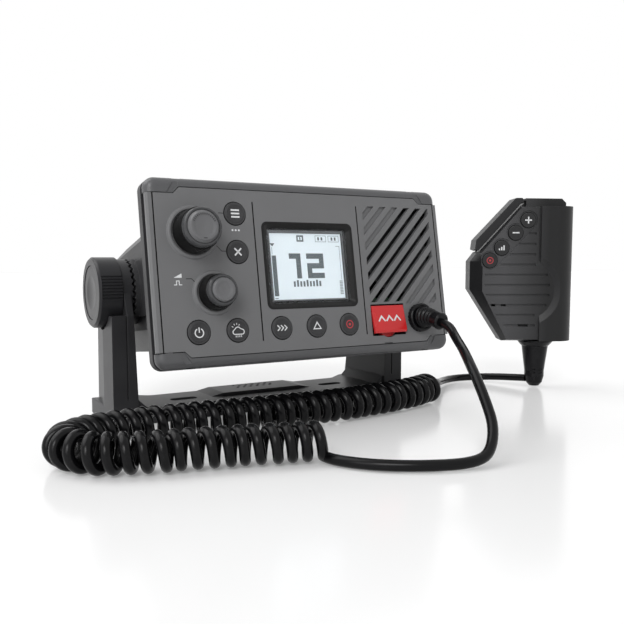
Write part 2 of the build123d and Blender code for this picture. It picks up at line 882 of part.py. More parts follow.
def mic_lock_ring():
    front = face_y - 0.3 - lock_ring_t
    ring = post(mic_at, lock_ring_r, front, face_y - 0.3)
    ring = chamfer(ring.faces().sort_by(Axis.Y)[0].edges(), 0.6)
    knurl = post((mic_at[0] + lock_ring_r + 0.25, mic_at[1]), 0.55, front + 0.9, face_y)
    turn = Axis((mic_at[0], 0, mic_at[1]), (0, 1, 0))
    for i in range(lock_ring_knurls):
        ring -= knurl.rotate(turn, i * 360 / lock_ring_knurls)
    ring -= post(mic_at, mic_socket_r + running_fit, front + 1.2, face_y)
    return ring - post(mic_at, lock_ring_bore, front - 1, front + 1.3)


def mic_plug():
    """Plug on the socket's nose, with a ribbed rubber boot that droops under the cord."""
    start = lock_ring_t + 0.6 + seat_gap
    nose = face_y - start
    shell = post(mic_at, boot_r - 0.4, nose - boot_from - 1.5, nose)
    length = plug_len - start - boot_from
    profile = [(0, 0), (boot_r, 0), (boot_r, -1.2)]
    at = 1.4
    for i in range(boot_ribs):
        rib_r = boot_r - (boot_r - boot_waist_r) * (i + 1) / boot_ribs
        profile.append((rib_r - 0.7, -at))
        profile.append((rib_r - 0.7, -at - 0.8))
        profile.append((rib_r + 0.3, -at - 1.0))
        profile.append((rib_r + 0.3, -at - boot_rib_pitch + 0.5))
        at += boot_rib_pitch
    profile += [(boot_end_r, -at - 0.4), (boot_end_r, -length + 1.2), (boot_end_r - 0.9, -length), (0, -length)]
    boot = spun(profile, (0, 0), 0)
    return shell + Pos(mic_at[0], nose - boot_from, mic_at[1]) * Rot(boot_droop, 0, 0) * boot


# ---- rear housing and what it holds ----
gasket_front = face_y + lip_depth
flange_front = gasket_front + gasket_t
flange_back = flange_front + flange_t


def case_gasket():
    outer = RectangleRounded(2 * (face_half_w - gasket_inset), 2 * (face_half_h - gasket_inset), corner_r - 1)
    inner = RectangleRounded(2 * (face_half_w - 7), 2 * (bay_half_h + 2.2), 4)
    gasket = slab(outer - inner, gasket_front, flange_front)
    for place in screw_places():
        gasket -= post(place, case_screw_r + 0.3, gasket_front - 1, flange_front + 1)
    return gasket


def screw_places():
    return [(sx * case_screw_at[0], sz * case_screw_at[1]) for sx in (-1, 1) for sz in (-1, 1)]


def body_section(top, bottom):
    w = body_half_w
    c = body_chamfer
    return polygon([
        (-w, -bottom + c), (-w + c, -bottom), (w - c, -bottom), (w, -bottom + c),
        (w, top - c), (w - c, top), (-w + c, top), (-w, top - c),
    ])


def body_block():
    """Drafted box of the housing, from the flange to the back."""
    front = plane_at(flange_back - bay_floor_t - 0.4) * body_section(body_top, body_bottom)
    back = plane_at(body_back) * body_section(body_top_back, body_bottom_back)
    return loft([front, back], ruled=True)


def cooling_fins():
    fins = []
    for i in range(fin_count):
        x = (i - (fin_count - 1) / 2) * fin_pitch
        fins.append(block(x - fin_t / 2, x + fin_t / 2, body_back - 1, body_back + fin_h, fin_bottom, fin_top))
    return fins


def side_pod():
    """Pivot boss on the right side of the housing, with its ring of teeth."""
    boss = x_rod(collar_r, body_half_w - 2, arm_ring_x - 2 * tooth_h - tooth_tip_gap)
    root_x = arm_ring_x - 2 * tooth_h - tooth_tip_gap
    lug = side_prism([(-34, 17), (-34, -17), (20, -14), (26, 0), (20, 14)], body_half_w - 2, body_half_w + 1.6)
    return boss + lug + crown_teeth(root_x, 1, 0)


def rear_housing():
    flange = slab(RectangleRounded(2 * face_half_w, 2 * face_half_h, corner_r), flange_front, flange_back)
    flange = fillet(flange.faces().sort_by(Axis.Y)[-1].edges(), 1.5)
    body = body_block()
    mouth = body.faces().sort_by(Axis.Y)[0]
    room = offset(body, -body_wall, openings=mouth)
    room = body - room
    shell = flange + body + cooling_fins()
    for pod in mirrored_pair(side_pod()):
        shell += pod
    shell -= room
    bay = RectangleRounded(2 * bay_half_w, 2 * bay_half_h, 4)
    shell -= slab(bay, flange_front - 1, flange_back - bay_floor_t)
    for side in (-1, 1):
        insert_well = x_rod(insert_r + 2.5, side * (body_half_w - insert_len - 2), side * body_half_w)
        shell += insert_well
        shell -= x_rod(insert_r, side * (body_half_w - insert_len), side * (body_half_w + 12))
        shell += x_rod(insert_r + 1, side * body_half_w, side * (arm_ring_x - 2 * tooth_h - tooth_tip_gap))
        shell -= x_rod(stud_r + 0.3, side * (body_half_w - insert_len), side * (body_half_w + 12))
    for place in screw_places():
        shell -= post(place, case_screw_r + 0.2, flange_front - 1, flange_back + 1)
    for x, radius in socket_places():
        shell -= post((x, socket_z), radius, body_back - body_wall - 1, body_back + 1)
    return shell


def socket_places():
    return ((-48.0, 6.0), (0.0, 7.2), (46.0, 6.0))


def pivot_inserts():
    insert = x_rod(insert_r - 0.02, body_half_w - insert_len + 0.02, body_half_w - 0.02)
    insert -= x_rod(stud_r + running_fit, body_half_w - insert_len - 1, body_half_w + 1)
    left, right = mirrored_pair(insert)
    return Compound([left, right])


def case_screws():
    screws = []
    for place in screw_places():
        head = post(place, case_screw_head_r, flange_back + 0.02, flange_back + 2.6)
        head = fillet(head.faces().sort_by(Axis.Y)[-1].edges(), 0.8)
        head -= slab(Pos(place[0], place[1]) * RegularPolygon(1.6, 6), flange_back + 1.0, flange_back + 3)
        screws.append(head + post(place, case_screw_r, gasket_front + 0.02, flange_back + 0.5))
    return Compound(screws)


def antenna_socket():
    """Screw-on coaxial socket on a square flange."""
    x = socket_places()[0][0]
    place = (x, socket_z)
    flange = slab(Pos(x, socket_z) * RectangleRounded(25, 25, 3), body_back + 0.02, body_back + 2.5)
    barrel = post(place, 7.8, body_back + 2, body_back + 17)
    barrel -= post(place, 5.6, body_back + 8, body_back + 18)
    barrel += post(place, 2.6, body_back + 7, body_back + 16)
    barrel -= post(place, 1.9, body_back + 9, body_back + 18)
    return flange + barrel + post(place, 5.9, body_back - body_wall - 4, body_back + 1)


def round_socket(index, length, pin_ring):
    """Round panel socket with a hex flange and a well for its pins."""
    x, hole = socket_places()[index]
    place = (x, socket_z)
    nut = slab(Pos(x, socket_z) * RegularPolygon(hole + 3.6, 6), body_back + 0.02, body_back + 3)
    barrel = post(place, hole - 0.1, body_back - body_wall - 4, body_back + length)
    barrel -= post(place, hole - 1.6, body_back + 4, body_back + length + 1)
    pins = [
        post((x + pin_ring * cos(i * 2 * pi / 5), socket_z + pin_ring * sin(i * 2 * pi / 5)),
             0.6, body_back + 3, body_back + 7)
        for i in range(5)
    ]
    return nut + barrel + pins


def control_board():
    front = face_y + control_board_in
    width = control_board_right - control_board_left
    middle_x = (control_board_left + control_board_right) / 2
    outline = Pos(middle_x, 0) * RectangleRounded(width, control_board_h, 4)
    strip_bottom = -control_board_h / 2
    strip_at = Pos((control_strip_right + middle_x) / 2, (control_strip_top + strip_bottom) / 2)
    outline += strip_at * RectangleRounded(control_strip_right - middle_x, control_strip_top - strip_bottom, 4)
    board = slab(outline, front, front + board_t)
    chip = slab(Pos(-10, 8) * Rectangle(22, 22), front + board_t, front + board_t + 2)
    relay = slab(Pos(28, -20) * Rectangle(16, 10), front + board_t, front + board_t + 5)
    return board + chip + relay


def radio_board():
    front = radio_board_front
    top = radio_board_z
    board = block(-radio_board_w / 2, radio_board_w / 2, front, front + radio_board_d, top - board_t, top)
    can = block(-40, 20, front + 12, front + 60, top, top + 9)
    final_stage = block(28, 62, front + 50, front + 84, top, top + 12)
    for side in (-1, 1):
        for y in (front + 6, front + radio_board_d - 6):
            foot = -body_bottom_back + body_wall
            middle = (foot + top - board_t) / 2
            board += Pos(side * 52, y, middle) * Cylinder(3, top - board_t - foot)
    return board + can + final_stage


def loudspeaker():
    """Round moving-coil loudspeaker: basket ring, cone and magnet."""
    front = panel_t + seat_gap
    profile = [
        (speaker_r, front),
        (speaker_r, front + 1.6),
        (speaker_r - 4, front + 3),
        (13, front + 8),
        (13, front + 9.6),
        (0, front + 9.6),
        (0, front + 4),
        (5, front + 3.6),
        (8, front + 5.5),
        (speaker_r - 4, front + 1.4),
        (speaker_r - 2.2, front + 0.6),
        (speaker_r - 1.4, front),
    ]
    return spun(profile, speaker_at, face_y)


# ---- handset ----
def shell_loft(near, near_y, far, far_y):
    return loft([plane_at(near_y) * polygon(near), plane_at(far_y) * polygon(far)], ruled=True)


def column_plan(inset):
    """Plan of the rounded spine along the right side of the handset."""
    left = column_left + inset
    right = handset_right - inset
    front = column_front + inset
    back = handset_back_y - inset
    plan = Pos((left + right) / 2, (front + back) / 2) * Rectangle(right - left, back - front)
    right_corners = plan.vertices().group_by(Axis.X)[-1]
    return fillet(right_corners, column_round - inset)


def column(front, back):
    spine = Pos(0, 0, handset_bottom + 0.3) * extrude(column_plan(0), handset_top - handset_bottom - 0.6)
    return spine & block(-100, 100, front, back, 0, 200)


def crest():
    """Fixed ridge on top of the handset, beside the transmit bar."""
    points = [(-13.2 + bar_travel + 0.4, handset_top - 1), (17.2, handset_top - 1), (17.2, 132.9),
              (14.2, 135.9), (-13.2 + bar_travel + 0.4, 136.2)]
    return slab(polygon(points), -crest_half_t, crest_half_t)


def handset_front_shell():
    deep = handset_front_y + 7
    shell = slab(polygon(outline_mid), deep, handset_split) + shell_loft(outline_front, handset_front_y,
                                                                         outline_mid, deep)
    shell += column(column_front - 1, handset_split)
    rise = column_front - handset_front_y
    dish = [(0, 0), (ring_inner_r, 0), (ring_outer_r, rise), (ring_outer_r, rise - 2), (0, rise - 2)]
    shell -= spun(dish, ring_at, handset_front_y)
    shell -= inner_room(handset_front_y + handset_wall, handset_split + 1)
    for place in handset_keys.values():
        shell -= post(place, handset_key_hole_r + 0.5, handset_front_y + handset_wall, handset_front_y + 6)
    shell += crest() & block(-100, 100, -100, handset_split, 0, 200)
    shell -= bar_room()
    for z, left, right in sound_slots:
        slot = Pos((left + right) / 2, z) * Rectangle(right - left, sound_slot_h)
        shell -= slab(slot, column_front - 1, handset_front_y + sound_slot_d)
    for z, left, right in sound_holes:
        slot = Pos((left + right) / 2, z) * Rectangle(right - left, sound_slot_h)
        shell -= slab(slot, handset_front_y - 1, handset_front_y + handset_wall + 1)
    shell -= slab(key_bay(), handset_front_y - 4, handset_front_y + key_bay_depth)
    for place in handset_keys.values():
        shell -= post(place, handset_key_hole_r, handset_front_y - 4, handset_front_y + handset_wall + 1)
    seam = block(-2.6, -2.0, handset_front_y - 3, handset_front_y + 0.5, 91.5, handset_top + 1)
    return shell - seam


def key_bay():
    """Sunken field round the four keys, straight along its inner side."""
    places = list(handset_keys.values())
    bay = spot(places[0], key_bay_r)
    for place in places[1:]:
        bay += spot(place, key_bay_r)
    first = Vector(*places[0])
    last = Vector(*places[3])
    along = (last - first).normalized()
    across = Vector(-along.Y, along.X) * -key_bay_r
    if across.X < 0:
        across = across * -1
    strip = [first, first + across, last + across, last]
    return bay + polygon([(p.X, p.Y) for p in strip])


def inner_room(front, back):
    """Hollow of the handset, inside its side walls."""
    wall = handset_wall
    points = [
        (-25.0, handset_bottom + wall),
        (-39.5, 71.0),
        (-39.5, 91.4),
        (-36.0, 95.0),
        (-14.0, handset_top - 11.0),
        (column_left + wall + 2, handset_top - 11.0),
        (column_left + wall + 2, handset_bottom + wall),
    ]
    room = slab(polygon(points), front, back)
    height = handset_top - handset_bottom - 2 * wall
    spine = Pos(0, 0, handset_bottom + wall) * extrude(column_plan(wall), height)
    return room + (spine & block(-100, 100, front, back, 0, 200))


def bar_room():
    """Bay in the case that the transmit bar sinks into."""
    inward = Vector(*bar_inward) * (bar_travel + 0.2)
    moved = [(x + inward.X, z + inward.Y) for x, z in bar_outline]
    swept_outline = make_hull(polygon(bar_outline).edges() + polygon(moved).edges())
    bay = offset(swept_outline, slip_gap)
    outer = [(-60, 98.0), (-45.2, 98.0), (-15.4, 131.0), (-11.0, 131.0), (-11.0, 150), (-60, 150)]
    return slab(bay + polygon(outer), -bar_half_t - slip_gap, bar_half_t + slip_gap)


def handset_rear_shell():
    deep = handset_back_y - 5
    shell = slab(polygon(outline_mid), handset_split + seat_gap, deep)
    shell += shell_loft(outline_mid, deep, outline_back, handset_back_y)
    shell += column(handset_split + seat_gap, 30)
    shell -= inner_room(-1, handset_back_y - handset_wall)
    shell += crest() & block(-100, 100, handset_split + seat_gap, 100, 0, 200)
    return shell - bar_room()


def transmit_bar():
    bar = slab(polygon(bar_outline), -bar_half_t, bar_half_t)
    long_edges = bar.edges().filter_by(Axis.Y).sort_by(lambda e: e.center().X - e.center().Z)[:3]
    bar = fillet(long_edges, 1.2)
    for i in range(5):
        t = 0.25 + 0.125 * i
        x = -45.9 + (-18.4 + 45.9) * t
        z = 106.9 + (136.4 - 106.9) * t
        bar -= Pos(x - 0.3, 0, z + 0.3) * Rot(0, 47, 0) * Box(1.0, 2 * bar_half_t - 5, 1.0)
    return bar


def handset_key(place):
    front = handset_front_y - 0.3
    back = handset_front_y + handset_wall
    button = post(place, handset_key_r, front, back + 0.3)
    button = fillet(button.faces().sort_by(Axis.Y)[0].edges(), 0.4)
    return button + post(place, handset_key_hole_r + 0.3, back + seat_gap, back + seat_gap + 0.8)


def handset_board():
    front = handset_front_y + handset_wall + seat_gap + 0.8 + handset_key_travel + 0.1
    points = [(-23, 40), (-37.5, 70.5), (-37.5, 91.0), (-34.5, 94.0), (-14.5, 117.5), (-4, 117.5), (-4, 97.5),
              (-35, 97.5), (-35, 40)]
    outline = polygon([(-23, 40), (-24, 44), (-24, 46), (-37.5, 71), (-37.5, 90.5), (-13.5, 117), (-4, 117),
                       (-4, 98), (-11, 98), (-35, 90), (-35, 71), (-22, 47), (12, 47), (12, 40)])
    board = slab(outline, front, front + board_t)
    mat = slab(Pos(-24, 107) * Rot(0, 0, 47) * Rectangle(40, 14), front, front + 1.0)
    field = slab(polygon(points), front - 1, front + 3)
    return board + (mat & field)


def handset_speaker():
    front = handset_wall + seat_gap
    profile = [(19.5, front), (19.5, front + 1.4), (10, front + 5), (10, front + 8), (0, front + 8),
               (0, front + 2.4), (14, front + 1.0), (18.2, front)]
    return spun(profile, ring_at, handset_front_y)


def handset_microphone():
    front = handset_front_y + handset_wall + seat_gap
    return post((-12.7, 46.1 - 4.2), 3.2, front, front + 0.8) + post((-12.7, 43.6), 4.0, front, front + 0.75)


def strain_relief():
    """Boot under the handset: collar, tapering sleeve with a panel and grip cuts, rounded foot."""
    profile = [
        (0, handset_bottom - 0.02), (relief_collar_r, handset_bottom - 0.02), (relief_collar_r, handset_bottom - 1.2),
        (relief_top_r + 1.0, relief_z), (relief_top_r, relief_z - 0.8),
        (relief_low_r, relief_low_z + 4), (relief_low_r, relief_low_z),
        (relief_low_r - 1.2, relief_low_z - 4.6), (relief_low_r - 3.4, relief_foot + 0.6), (0, relief_foot),
    ]
    face = Plane.XZ * polygon(profile)
    boot = revolve(face, Axis.Z)
    boot = Pos(0, 0, 0) * boot
    boot -= block(-2.4, 2.4, -12, -relief_top_r + 1.2, 15.0, 26.5)
    for z in (10.4, 12.8):
        for side in (-1, 1):
            boot -= block(min(side * 1.2, side * 12), max(side * 1.2, side * 12), -12, -relief_low_r + 1.6,
                          z, z + 1.3)
    return boot


def hang_stud():
    """Button on the handset's back that hooks into a bulkhead clip."""
    start = handset_back_y + 0.02
    return spun([(0, 0), (5, 0), (5, 0.8), (3.4, 1.2), (3.4, 4.2), (7.2, 5.0), (7.2, 6.4), (6.2, 7.2), (0, 7.2)],
                (-12.6, 88.0), start)


# ---- assembly ----
def build_stand():
    keep("gimbal_bracket", gimbal_bracket())
    keep("coil_cord", tube("coil_cord", coil_route, coil_r))
    keep("plug_lead", tube("plug_lead", lead_route, cord_r))
    keep("handset_lead", tube("handset_lead", tail_route, cord_r))


def build_clamps():
    for name, part in (("clamp_knob", clamp_knob()), ("knob_disc", clamp_disc()), ("clamp_washer", clamp_washer())):
        right = part
        left = mirror(part, Plane.YZ)
        keep("right_" + name, in_radio(right))
        keep("left_" + name, in_radio(left))


def build_front():
    top = lip()
    keep("top_lip", in_radio(top))
    keep("bottom_lip", in_radio(mirror(top, Plane.XY)))
    keep("face_panel", in_radio(face_panel()))
    keep("display_window", in_radio(display_window()))
    keep("display_module", in_radio(display_module()))
    keep("key_mat", in_radio(key_mat()))
    for name, place in key_places.items():
        keep(name, in_radio(key(place)))
    keep("distress_cover", in_radio(distress_cover()))
    keep("cover_hinge_pin", in_radio(cover_hinge_pin()))
    keep("distress_button", in_radio(distress_button()))
    keep("mic_socket", in_radio(mic_socket()))
    keep("mic_lock_ring", in_radio(mic_lock_ring()))
    keep("mic_plug", in_radio(mic_plug()))


def build_rotary(name, place, base_r, rim_r, height, cap_r):
    keep(name + "_knob", in_radio(knob_core(place, base_r, rim_r, height)))
    keep(name + "_knob_grip", in_radio(knob_grip(place, base_r, rim_r, height)))
    keep(name + "_knob_cap", in_radio(knob_cap(place, rim_r, cap_r, height)))
    keep(name + "_shaft", in_radio(knob_shaft(place, height)))


def build_inside():
    keep("rotary_encoders", in_radio(Compound([encoder(channel_knob_at), encoder(volume_knob_at)])))
    keep("loudspeaker", in_radio(loudspeaker()))
    keep("control_board", in_radio(control_board()))
    keep("radio_board", in_radio(radio_board()))
    keep("case_gasket", in_radio(case_gasket()))
    keep("pivot_inserts", in_radio(pivot_inserts()))
    keep("case_screws", in_radio(case_screws()))


def build_back():
    keep("rear_housing", in_radio(rear_housing()))
    keep("antenna_socket", in_radio(antenna_socket()))
    keep("power_socket", in_radio(round_socket(1, 13.0, 3.4)))
    keep("data_socket", in_radio(round_socket(2, 11.0, 2.4)))


def build_handset():
    keep("handset_front_shell", in_handset(handset_front_shell()))
    keep("handset_rear_shell", in_handset(handset_rear_shell()))
    keep("transmit_bar", in_handset(transmit_bar()))
    for name, place in handset_keys.items():
        keep(name, in_handset(handset_key(place)))
    keep("handset_board", in_handset(handset_board()))
    keep("handset_speaker", in_handset(handset_speaker()))
    keep("handset_microphone", in_handset(handset_microphone()))
    keep("handset_strain_relief", in_handset(strain_relief()))
    keep("handset_hang_stud", in_handset(hang_stud()))


build_stand()
build_clamps()
build_front()
build_rotary("channel", channel_knob_at, channel_knob_r, channel_rim_r, channel_knob_h, channel_cap_r)
build_rotary("volume", volume_knob_at, volume_knob_r, volume_rim_r, volume_knob_h, volume_cap_r)
build_inside()
build_back()
build_handset()

for node, shape in parts.items():
    export_step(shape, "parts/" + node + ".step")
print(len(parts), "parts written")
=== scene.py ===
import json
from math import cos, pi, radians, sin
import bmesh
import bpy
from mathutils import Matrix, Vector


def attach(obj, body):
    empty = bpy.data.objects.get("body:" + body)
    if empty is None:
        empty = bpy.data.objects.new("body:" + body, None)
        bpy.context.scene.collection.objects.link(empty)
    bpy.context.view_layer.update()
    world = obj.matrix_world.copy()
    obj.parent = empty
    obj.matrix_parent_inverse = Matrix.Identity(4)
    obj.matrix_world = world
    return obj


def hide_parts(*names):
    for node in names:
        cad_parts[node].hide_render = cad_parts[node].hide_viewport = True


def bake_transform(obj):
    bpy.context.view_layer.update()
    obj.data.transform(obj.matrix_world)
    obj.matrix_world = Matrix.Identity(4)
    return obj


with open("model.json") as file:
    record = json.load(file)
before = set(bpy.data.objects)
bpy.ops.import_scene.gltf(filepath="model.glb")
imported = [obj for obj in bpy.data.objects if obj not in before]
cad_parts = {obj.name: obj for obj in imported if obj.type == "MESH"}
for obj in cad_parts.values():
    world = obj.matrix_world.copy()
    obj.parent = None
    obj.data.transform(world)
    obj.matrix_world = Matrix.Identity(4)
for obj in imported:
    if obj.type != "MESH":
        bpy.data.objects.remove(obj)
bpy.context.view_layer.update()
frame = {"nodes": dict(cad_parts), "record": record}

# Marine VHF radio on its tilting bracket, with the curly cord and the hand microphone.
# Everything is in metres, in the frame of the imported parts; marks are drawn in millimetres on their own face.
mm = 0.001
nodes = frame["nodes"]

radioPlace = {"pivot": (0.0, 6.0, 74.3), "tilt": 10.0, "faceY": -74.0}
handsetPlace = {"at": (203.6, -40.7, 0.0), "yaw": -31.0}
toMetres = Matrix.Scale(mm, 4)


def placed(at, degrees, axis):
    return Matrix.Translation(Vector(at)) @ Matrix.Rotation(radians(degrees), 4, axis)


radioMatrix = placed(radioPlace["pivot"], -radioPlace["tilt"], "X")
handsetMatrix = placed(handsetPlace["at"], handsetPlace["yaw"], "Z")


def frontOf(node, matrix=radioMatrix):
    # depth of a node's foremost point, in the millimetres of the radio or of the hand microphone
    back = matrix.inverted()
    return min((back @ (v.co / mm)).y for v in nodes[node].data.vertices)


def addObject(name, data):
    thing = bpy.data.objects.new(name, data)
    bpy.context.scene.collection.objects.link(thing)
    return thing


def meshOf(form, name, matrix):
    # a mesh in metres and in its place, from a shape drawn in millimetres
    bmesh.ops.recalc_face_normals(form, faces=form.faces[:])
    form.transform(toMetres @ matrix)
    mesh = bpy.data.meshes.new(name)
    form.to_mesh(mesh)
    form.free()
    return mesh


# camera
cameraSet = {
    "at": (-0.2068, -0.4182, 0.0943),
    "forward": (0.50379, 0.85942, -0.08718),
    "lens": 42.25, "sensor": 36.0, "shiftY": 0.0154,
    "near": 0.01, "far": 50.0,
}


def addCamera():
    data = bpy.data.cameras.new("camera")
    data.sensor_width = cameraSet["sensor"]
    data.lens = cameraSet["lens"]
    data.shift_y = cameraSet["shiftY"]
    data.clip_start = cameraSet["near"]
    data.clip_end = cameraSet["far"]
    camera = addObject("camera", data)
    camera.location = cameraSet["at"]
    camera.rotation_euler = Vector(cameraSet["forward"]).to_track_quat("-Z", "Y").to_euler()
    bpy.context.scene.camera = camera


addCamera()
print("camera placed")


# the cord is one line: from the plug down to the floor, through the coil, to the hand microphone
cordSet = {
    "radius": 0.0026,
    "coilRadius": 0.0072,   # centre line of the turns
    "turns": 52,
    "pointsPerTurn": 14,
    "coilEnd": 0.972,       # share of the coil's route where the turns stop
    "startTurn": -1.3,      # radians, where the coil takes over from the lead
    "bendAt": 0.36,         # share of the coil's route where it turns back
    "bendReach": 0.10,
    "looseTurns": 0.10,     # how much wider the turns are in the bend
    "wobble": 0.00035,      # how far the turns stray along the route
    "sideWobble": 0.8,      # share of it that they stray sideways
    "waves": (1.7, 2.9),    # radians per turn of the two waves in it
    "secondWave": 0.6,      # strength and start of the second one
    "secondStart": 1.0,
    "curveSteps": 4,
    "roundSteps": 4,
    "still": 0.0205,        # heights in metres: the first just above the coil on the floor, the second just below the plug
    "carried": 0.056,
}
leadRoute = [
    (0.0708, -0.09222, 0.05694), (0.0708, -0.0995, 0.05566), (0.0690, -0.1062, 0.0504),
    (0.0634, -0.1165, 0.0474), (0.0560, -0.1280, 0.0454), (0.0490, -0.1405, 0.0406),
    (0.0448, -0.1510, 0.0334), (0.0420, -0.1600, 0.0246), (0.0392, -0.1678, 0.0160),
    (0.0330, -0.1740, 0.0086), (0.0255, -0.1778, 0.0041), (0.0145, -0.1774, 0.0028),
    (0.0010, -0.1728, 0.0027), (-0.0120, -0.1660, 0.0027), (-0.0240, -0.1562, 0.0027),
    (-0.0325, -0.1440, 0.0027),
]
coilRoute = [
    (-0.0340, -0.1330, 0.0098), (-0.0580, -0.1250, 0.0098), (-0.0820, -0.1180, 0.0098),
    (-0.1080, -0.1125, 0.0098), (-0.1300, -0.1045, 0.0098), (-0.1410, -0.0880, 0.0098),
    (-0.1350, -0.0705, 0.0098), (-0.1150, -0.0615, 0.0098), (-0.0880, -0.0600, 0.0098),
    (-0.0580, -0.0615, 0.0098), (-0.0260, -0.0650, 0.0098), (0.0080, -0.0665, 0.0098),
    (0.0400, -0.0645, 0.0098), (0.0680, -0.0595, 0.0098), (0.0900, -0.0525, 0.0098),
    (0.1080, -0.0435, 0.0098),
]
tailRoute = [
    (0.1190, -0.0325, 0.0094), (0.1330, -0.0170, 0.0052), (0.1490, -0.0025, 0.0032),
    (0.1660, 0.0035, 0.0029), (0.1810, -0.0010, 0.0032), (0.1900, -0.0115, 0.0042),
    (0.1948, -0.0240, 0.0052), (0.1996, -0.0360, 0.0059),
]


def splineCurve(name, points, steps):
    data = bpy.data.curves.new(name, "CURVE")
    data.dimensions = "3D"
    spline = data.splines.new("NURBS")
    spline.points.add(len(points) - 1)
    for point, at in zip(spline.points, points):
        point.co = (*at, 1.0)
    spline.order_u = 3
    spline.use_endpoint_u = True
    spline.resolution_u = steps
    return data


def meshFrom(data):
    holder = addObject("holder", data)
    bpy.context.view_layer.update()
    mesh = bpy.data.meshes.new_from_object(holder)
    bpy.data.objects.remove(holder)
    return mesh


def followedPoints(points, steps=24):
    # the smooth line of a route, read from its spline
    return [v.co.copy() for v in meshFrom(splineCurve("routeLine", points, steps)).vertices]


def lengthsAlong(line):
    lengths = [0.0]
    for a, b in zip(line, line[1:]):
        lengths.append(lengths[-1] + (b - a).length)
    return lengths


def turnWander(turn):
    # two slow waves, so that no two turns lie quite alike
    first, second = cordSet["waves"]
    later = cordSet["secondWave"] * sin(turn * second + cordSet["secondStart"])
    return cordSet["wobble"] * (sin(turn * first) + later)


def coilPoints():
    line = followedPoints(coilRoute)
    lengths = lengthsAlong(line)
    count = cordSet["turns"] * cordSet["pointsPerTurn"]
    places = []
    at = 1
    for i in range(count + 1):
        share = cordSet["coilEnd"] * i / count
        while at < len(line) - 1 and lengths[at] < share * lengths[-1]:
            at += 1
        part = (share * lengths[-1] - lengths[at - 1]) / (lengths[at] - lengths[at - 1])
        centre = line[at - 1].lerp(line[at], part)
        direction = (line[at] - line[at - 1]).normalized()
        side = direction.cross(Vector((0, 0, 1))).normalized()
        turn = i / cordSet["pointsPerTurn"]
        angle = cordSet["startTurn"] + 2 * pi * turn
        bend = max(0.0, 1 - abs(share - cordSet["bendAt"]) / cordSet["bendReach"])
        wide = cordSet["coilRadius"] * (1 + cordSet["looseTurns"] * bend)
        offset = Vector((0, 0, sin(angle) * cordSet["coilRadius"])) - side * cos(angle) * wide
        wander = turnWander(turn)
        places.append(centre + offset + direction * wander + side * wander * cordSet["sideWobble"])
    return places


def addCord():
    places = [Vector(p) for p in leadRoute] + coilPoints() + [Vector(p) for p in tailRoute]
    line = followedPoints(places, cordSet["curveSteps"])
    data = splineCurve("cordTube", places, cordSet["curveSteps"])
    data.bevel_depth = cordSet["radius"]
    data.bevel_resolution = cordSet["roundSteps"]
    data.use_fill_caps = True
    mesh = meshFrom(data)
    mesh.name = "curlyCord"
    for face in mesh.polygons:
        face.use_smooth = True
    cord = addObject("curlyCord", mesh)
    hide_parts("plug_lead", "coil_cord", "handset_lead")
    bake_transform(cord)
    return cord


curlyCord = addCord()
print("cord laid")


# the plug in its lock ring: a ribbed boot that droops under the cord's weight
plugSet = {
    "at": (70.8, -29.4),
    "start": -74.6,          # radio's own depth where the boot shows
    "length": 20.9,
    "droop": 20.0,           # degrees at the cord's end
    "droopFrom": 3.0, "droopOver": 9.0,
    "bodyRadius": 6.3, "endRadius": 4.7,
    "rimRadius": 5.05, "rimLength": 2.6, "rimRound": 1.0, "rimSlope": 1.1,
    "ribs": 4, "ribFrom": 4.2, "ribPitch": 2.5, "ribDepth": 0.75, "ribSharpness": 1.6,
    "steps": 120, "sides": 40,
}


def plugRadius(at):
    p = plugSet
    share = min(1.0, max(0.0, (at - p["ribFrom"]) / (p["ribs"] * p["ribPitch"])))
    radius = p["bodyRadius"] + (p["endRadius"] - p["bodyRadius"]) * share
    if 0 < share < 1:
        wave = 0.5 + 0.5 * cos(2 * pi * (at - p["ribFrom"]) / p["ribPitch"])
        radius -= p["ribDepth"] * wave ** p["ribSharpness"]
    if at > p["length"] - p["rimLength"]:
        radius = p["rimRadius"]
    if at > p["length"] - p["rimRound"]:
        radius = p["rimRadius"] - p["rimSlope"] * (at - p["length"] + p["rimRound"])
    return radius


def addPlug():
    p = plugSet
    form = bmesh.new()
    centre = Vector((p["at"][0], p["start"], p["at"][1]))
    step = p["length"] / p["steps"]
    rows = []
    for i in range(p["steps"] + 1):
        at = i * step
        lean = min(1.0, max(0.0, (at - p["droopFrom"]) / p["droopOver"]))
        angle = radians(p["droop"]) * lean * lean * (3 - 2 * lean)
        along = Vector((0, -cos(angle), -sin(angle)))
        up = Vector((0, -sin(angle), cos(angle)))
        turns = [2 * pi * j / p["sides"] for j in range(p["sides"])]
        ring = [centre + (Vector((1, 0, 0)) * cos(a) + up * sin(a)) * plugRadius(at) for a in turns]
        rows.append([form.verts.new(place) for place in ring])
        centre = centre + along * step
    for low, high in zip(rows, rows[1:]):
        for j in range(p["sides"]):
            k = (j + 1) % p["sides"]
            form.faces.new((low[j], low[k], high[k], high[j]))
    form.faces.new(rows[0])
    form.faces.new(rows[-1])
    mesh = meshOf(form, "plugBoot", radioMatrix)
    for face in mesh.polygons:
        face.use_smooth = len(face.vertices) == 4       # all but the two ends
    plug = addObject("plugBoot", mesh)
    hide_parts("mic_plug")
    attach(plug, "radio")
    return plug


plugBoot = addPlug()
print("plug shaped")


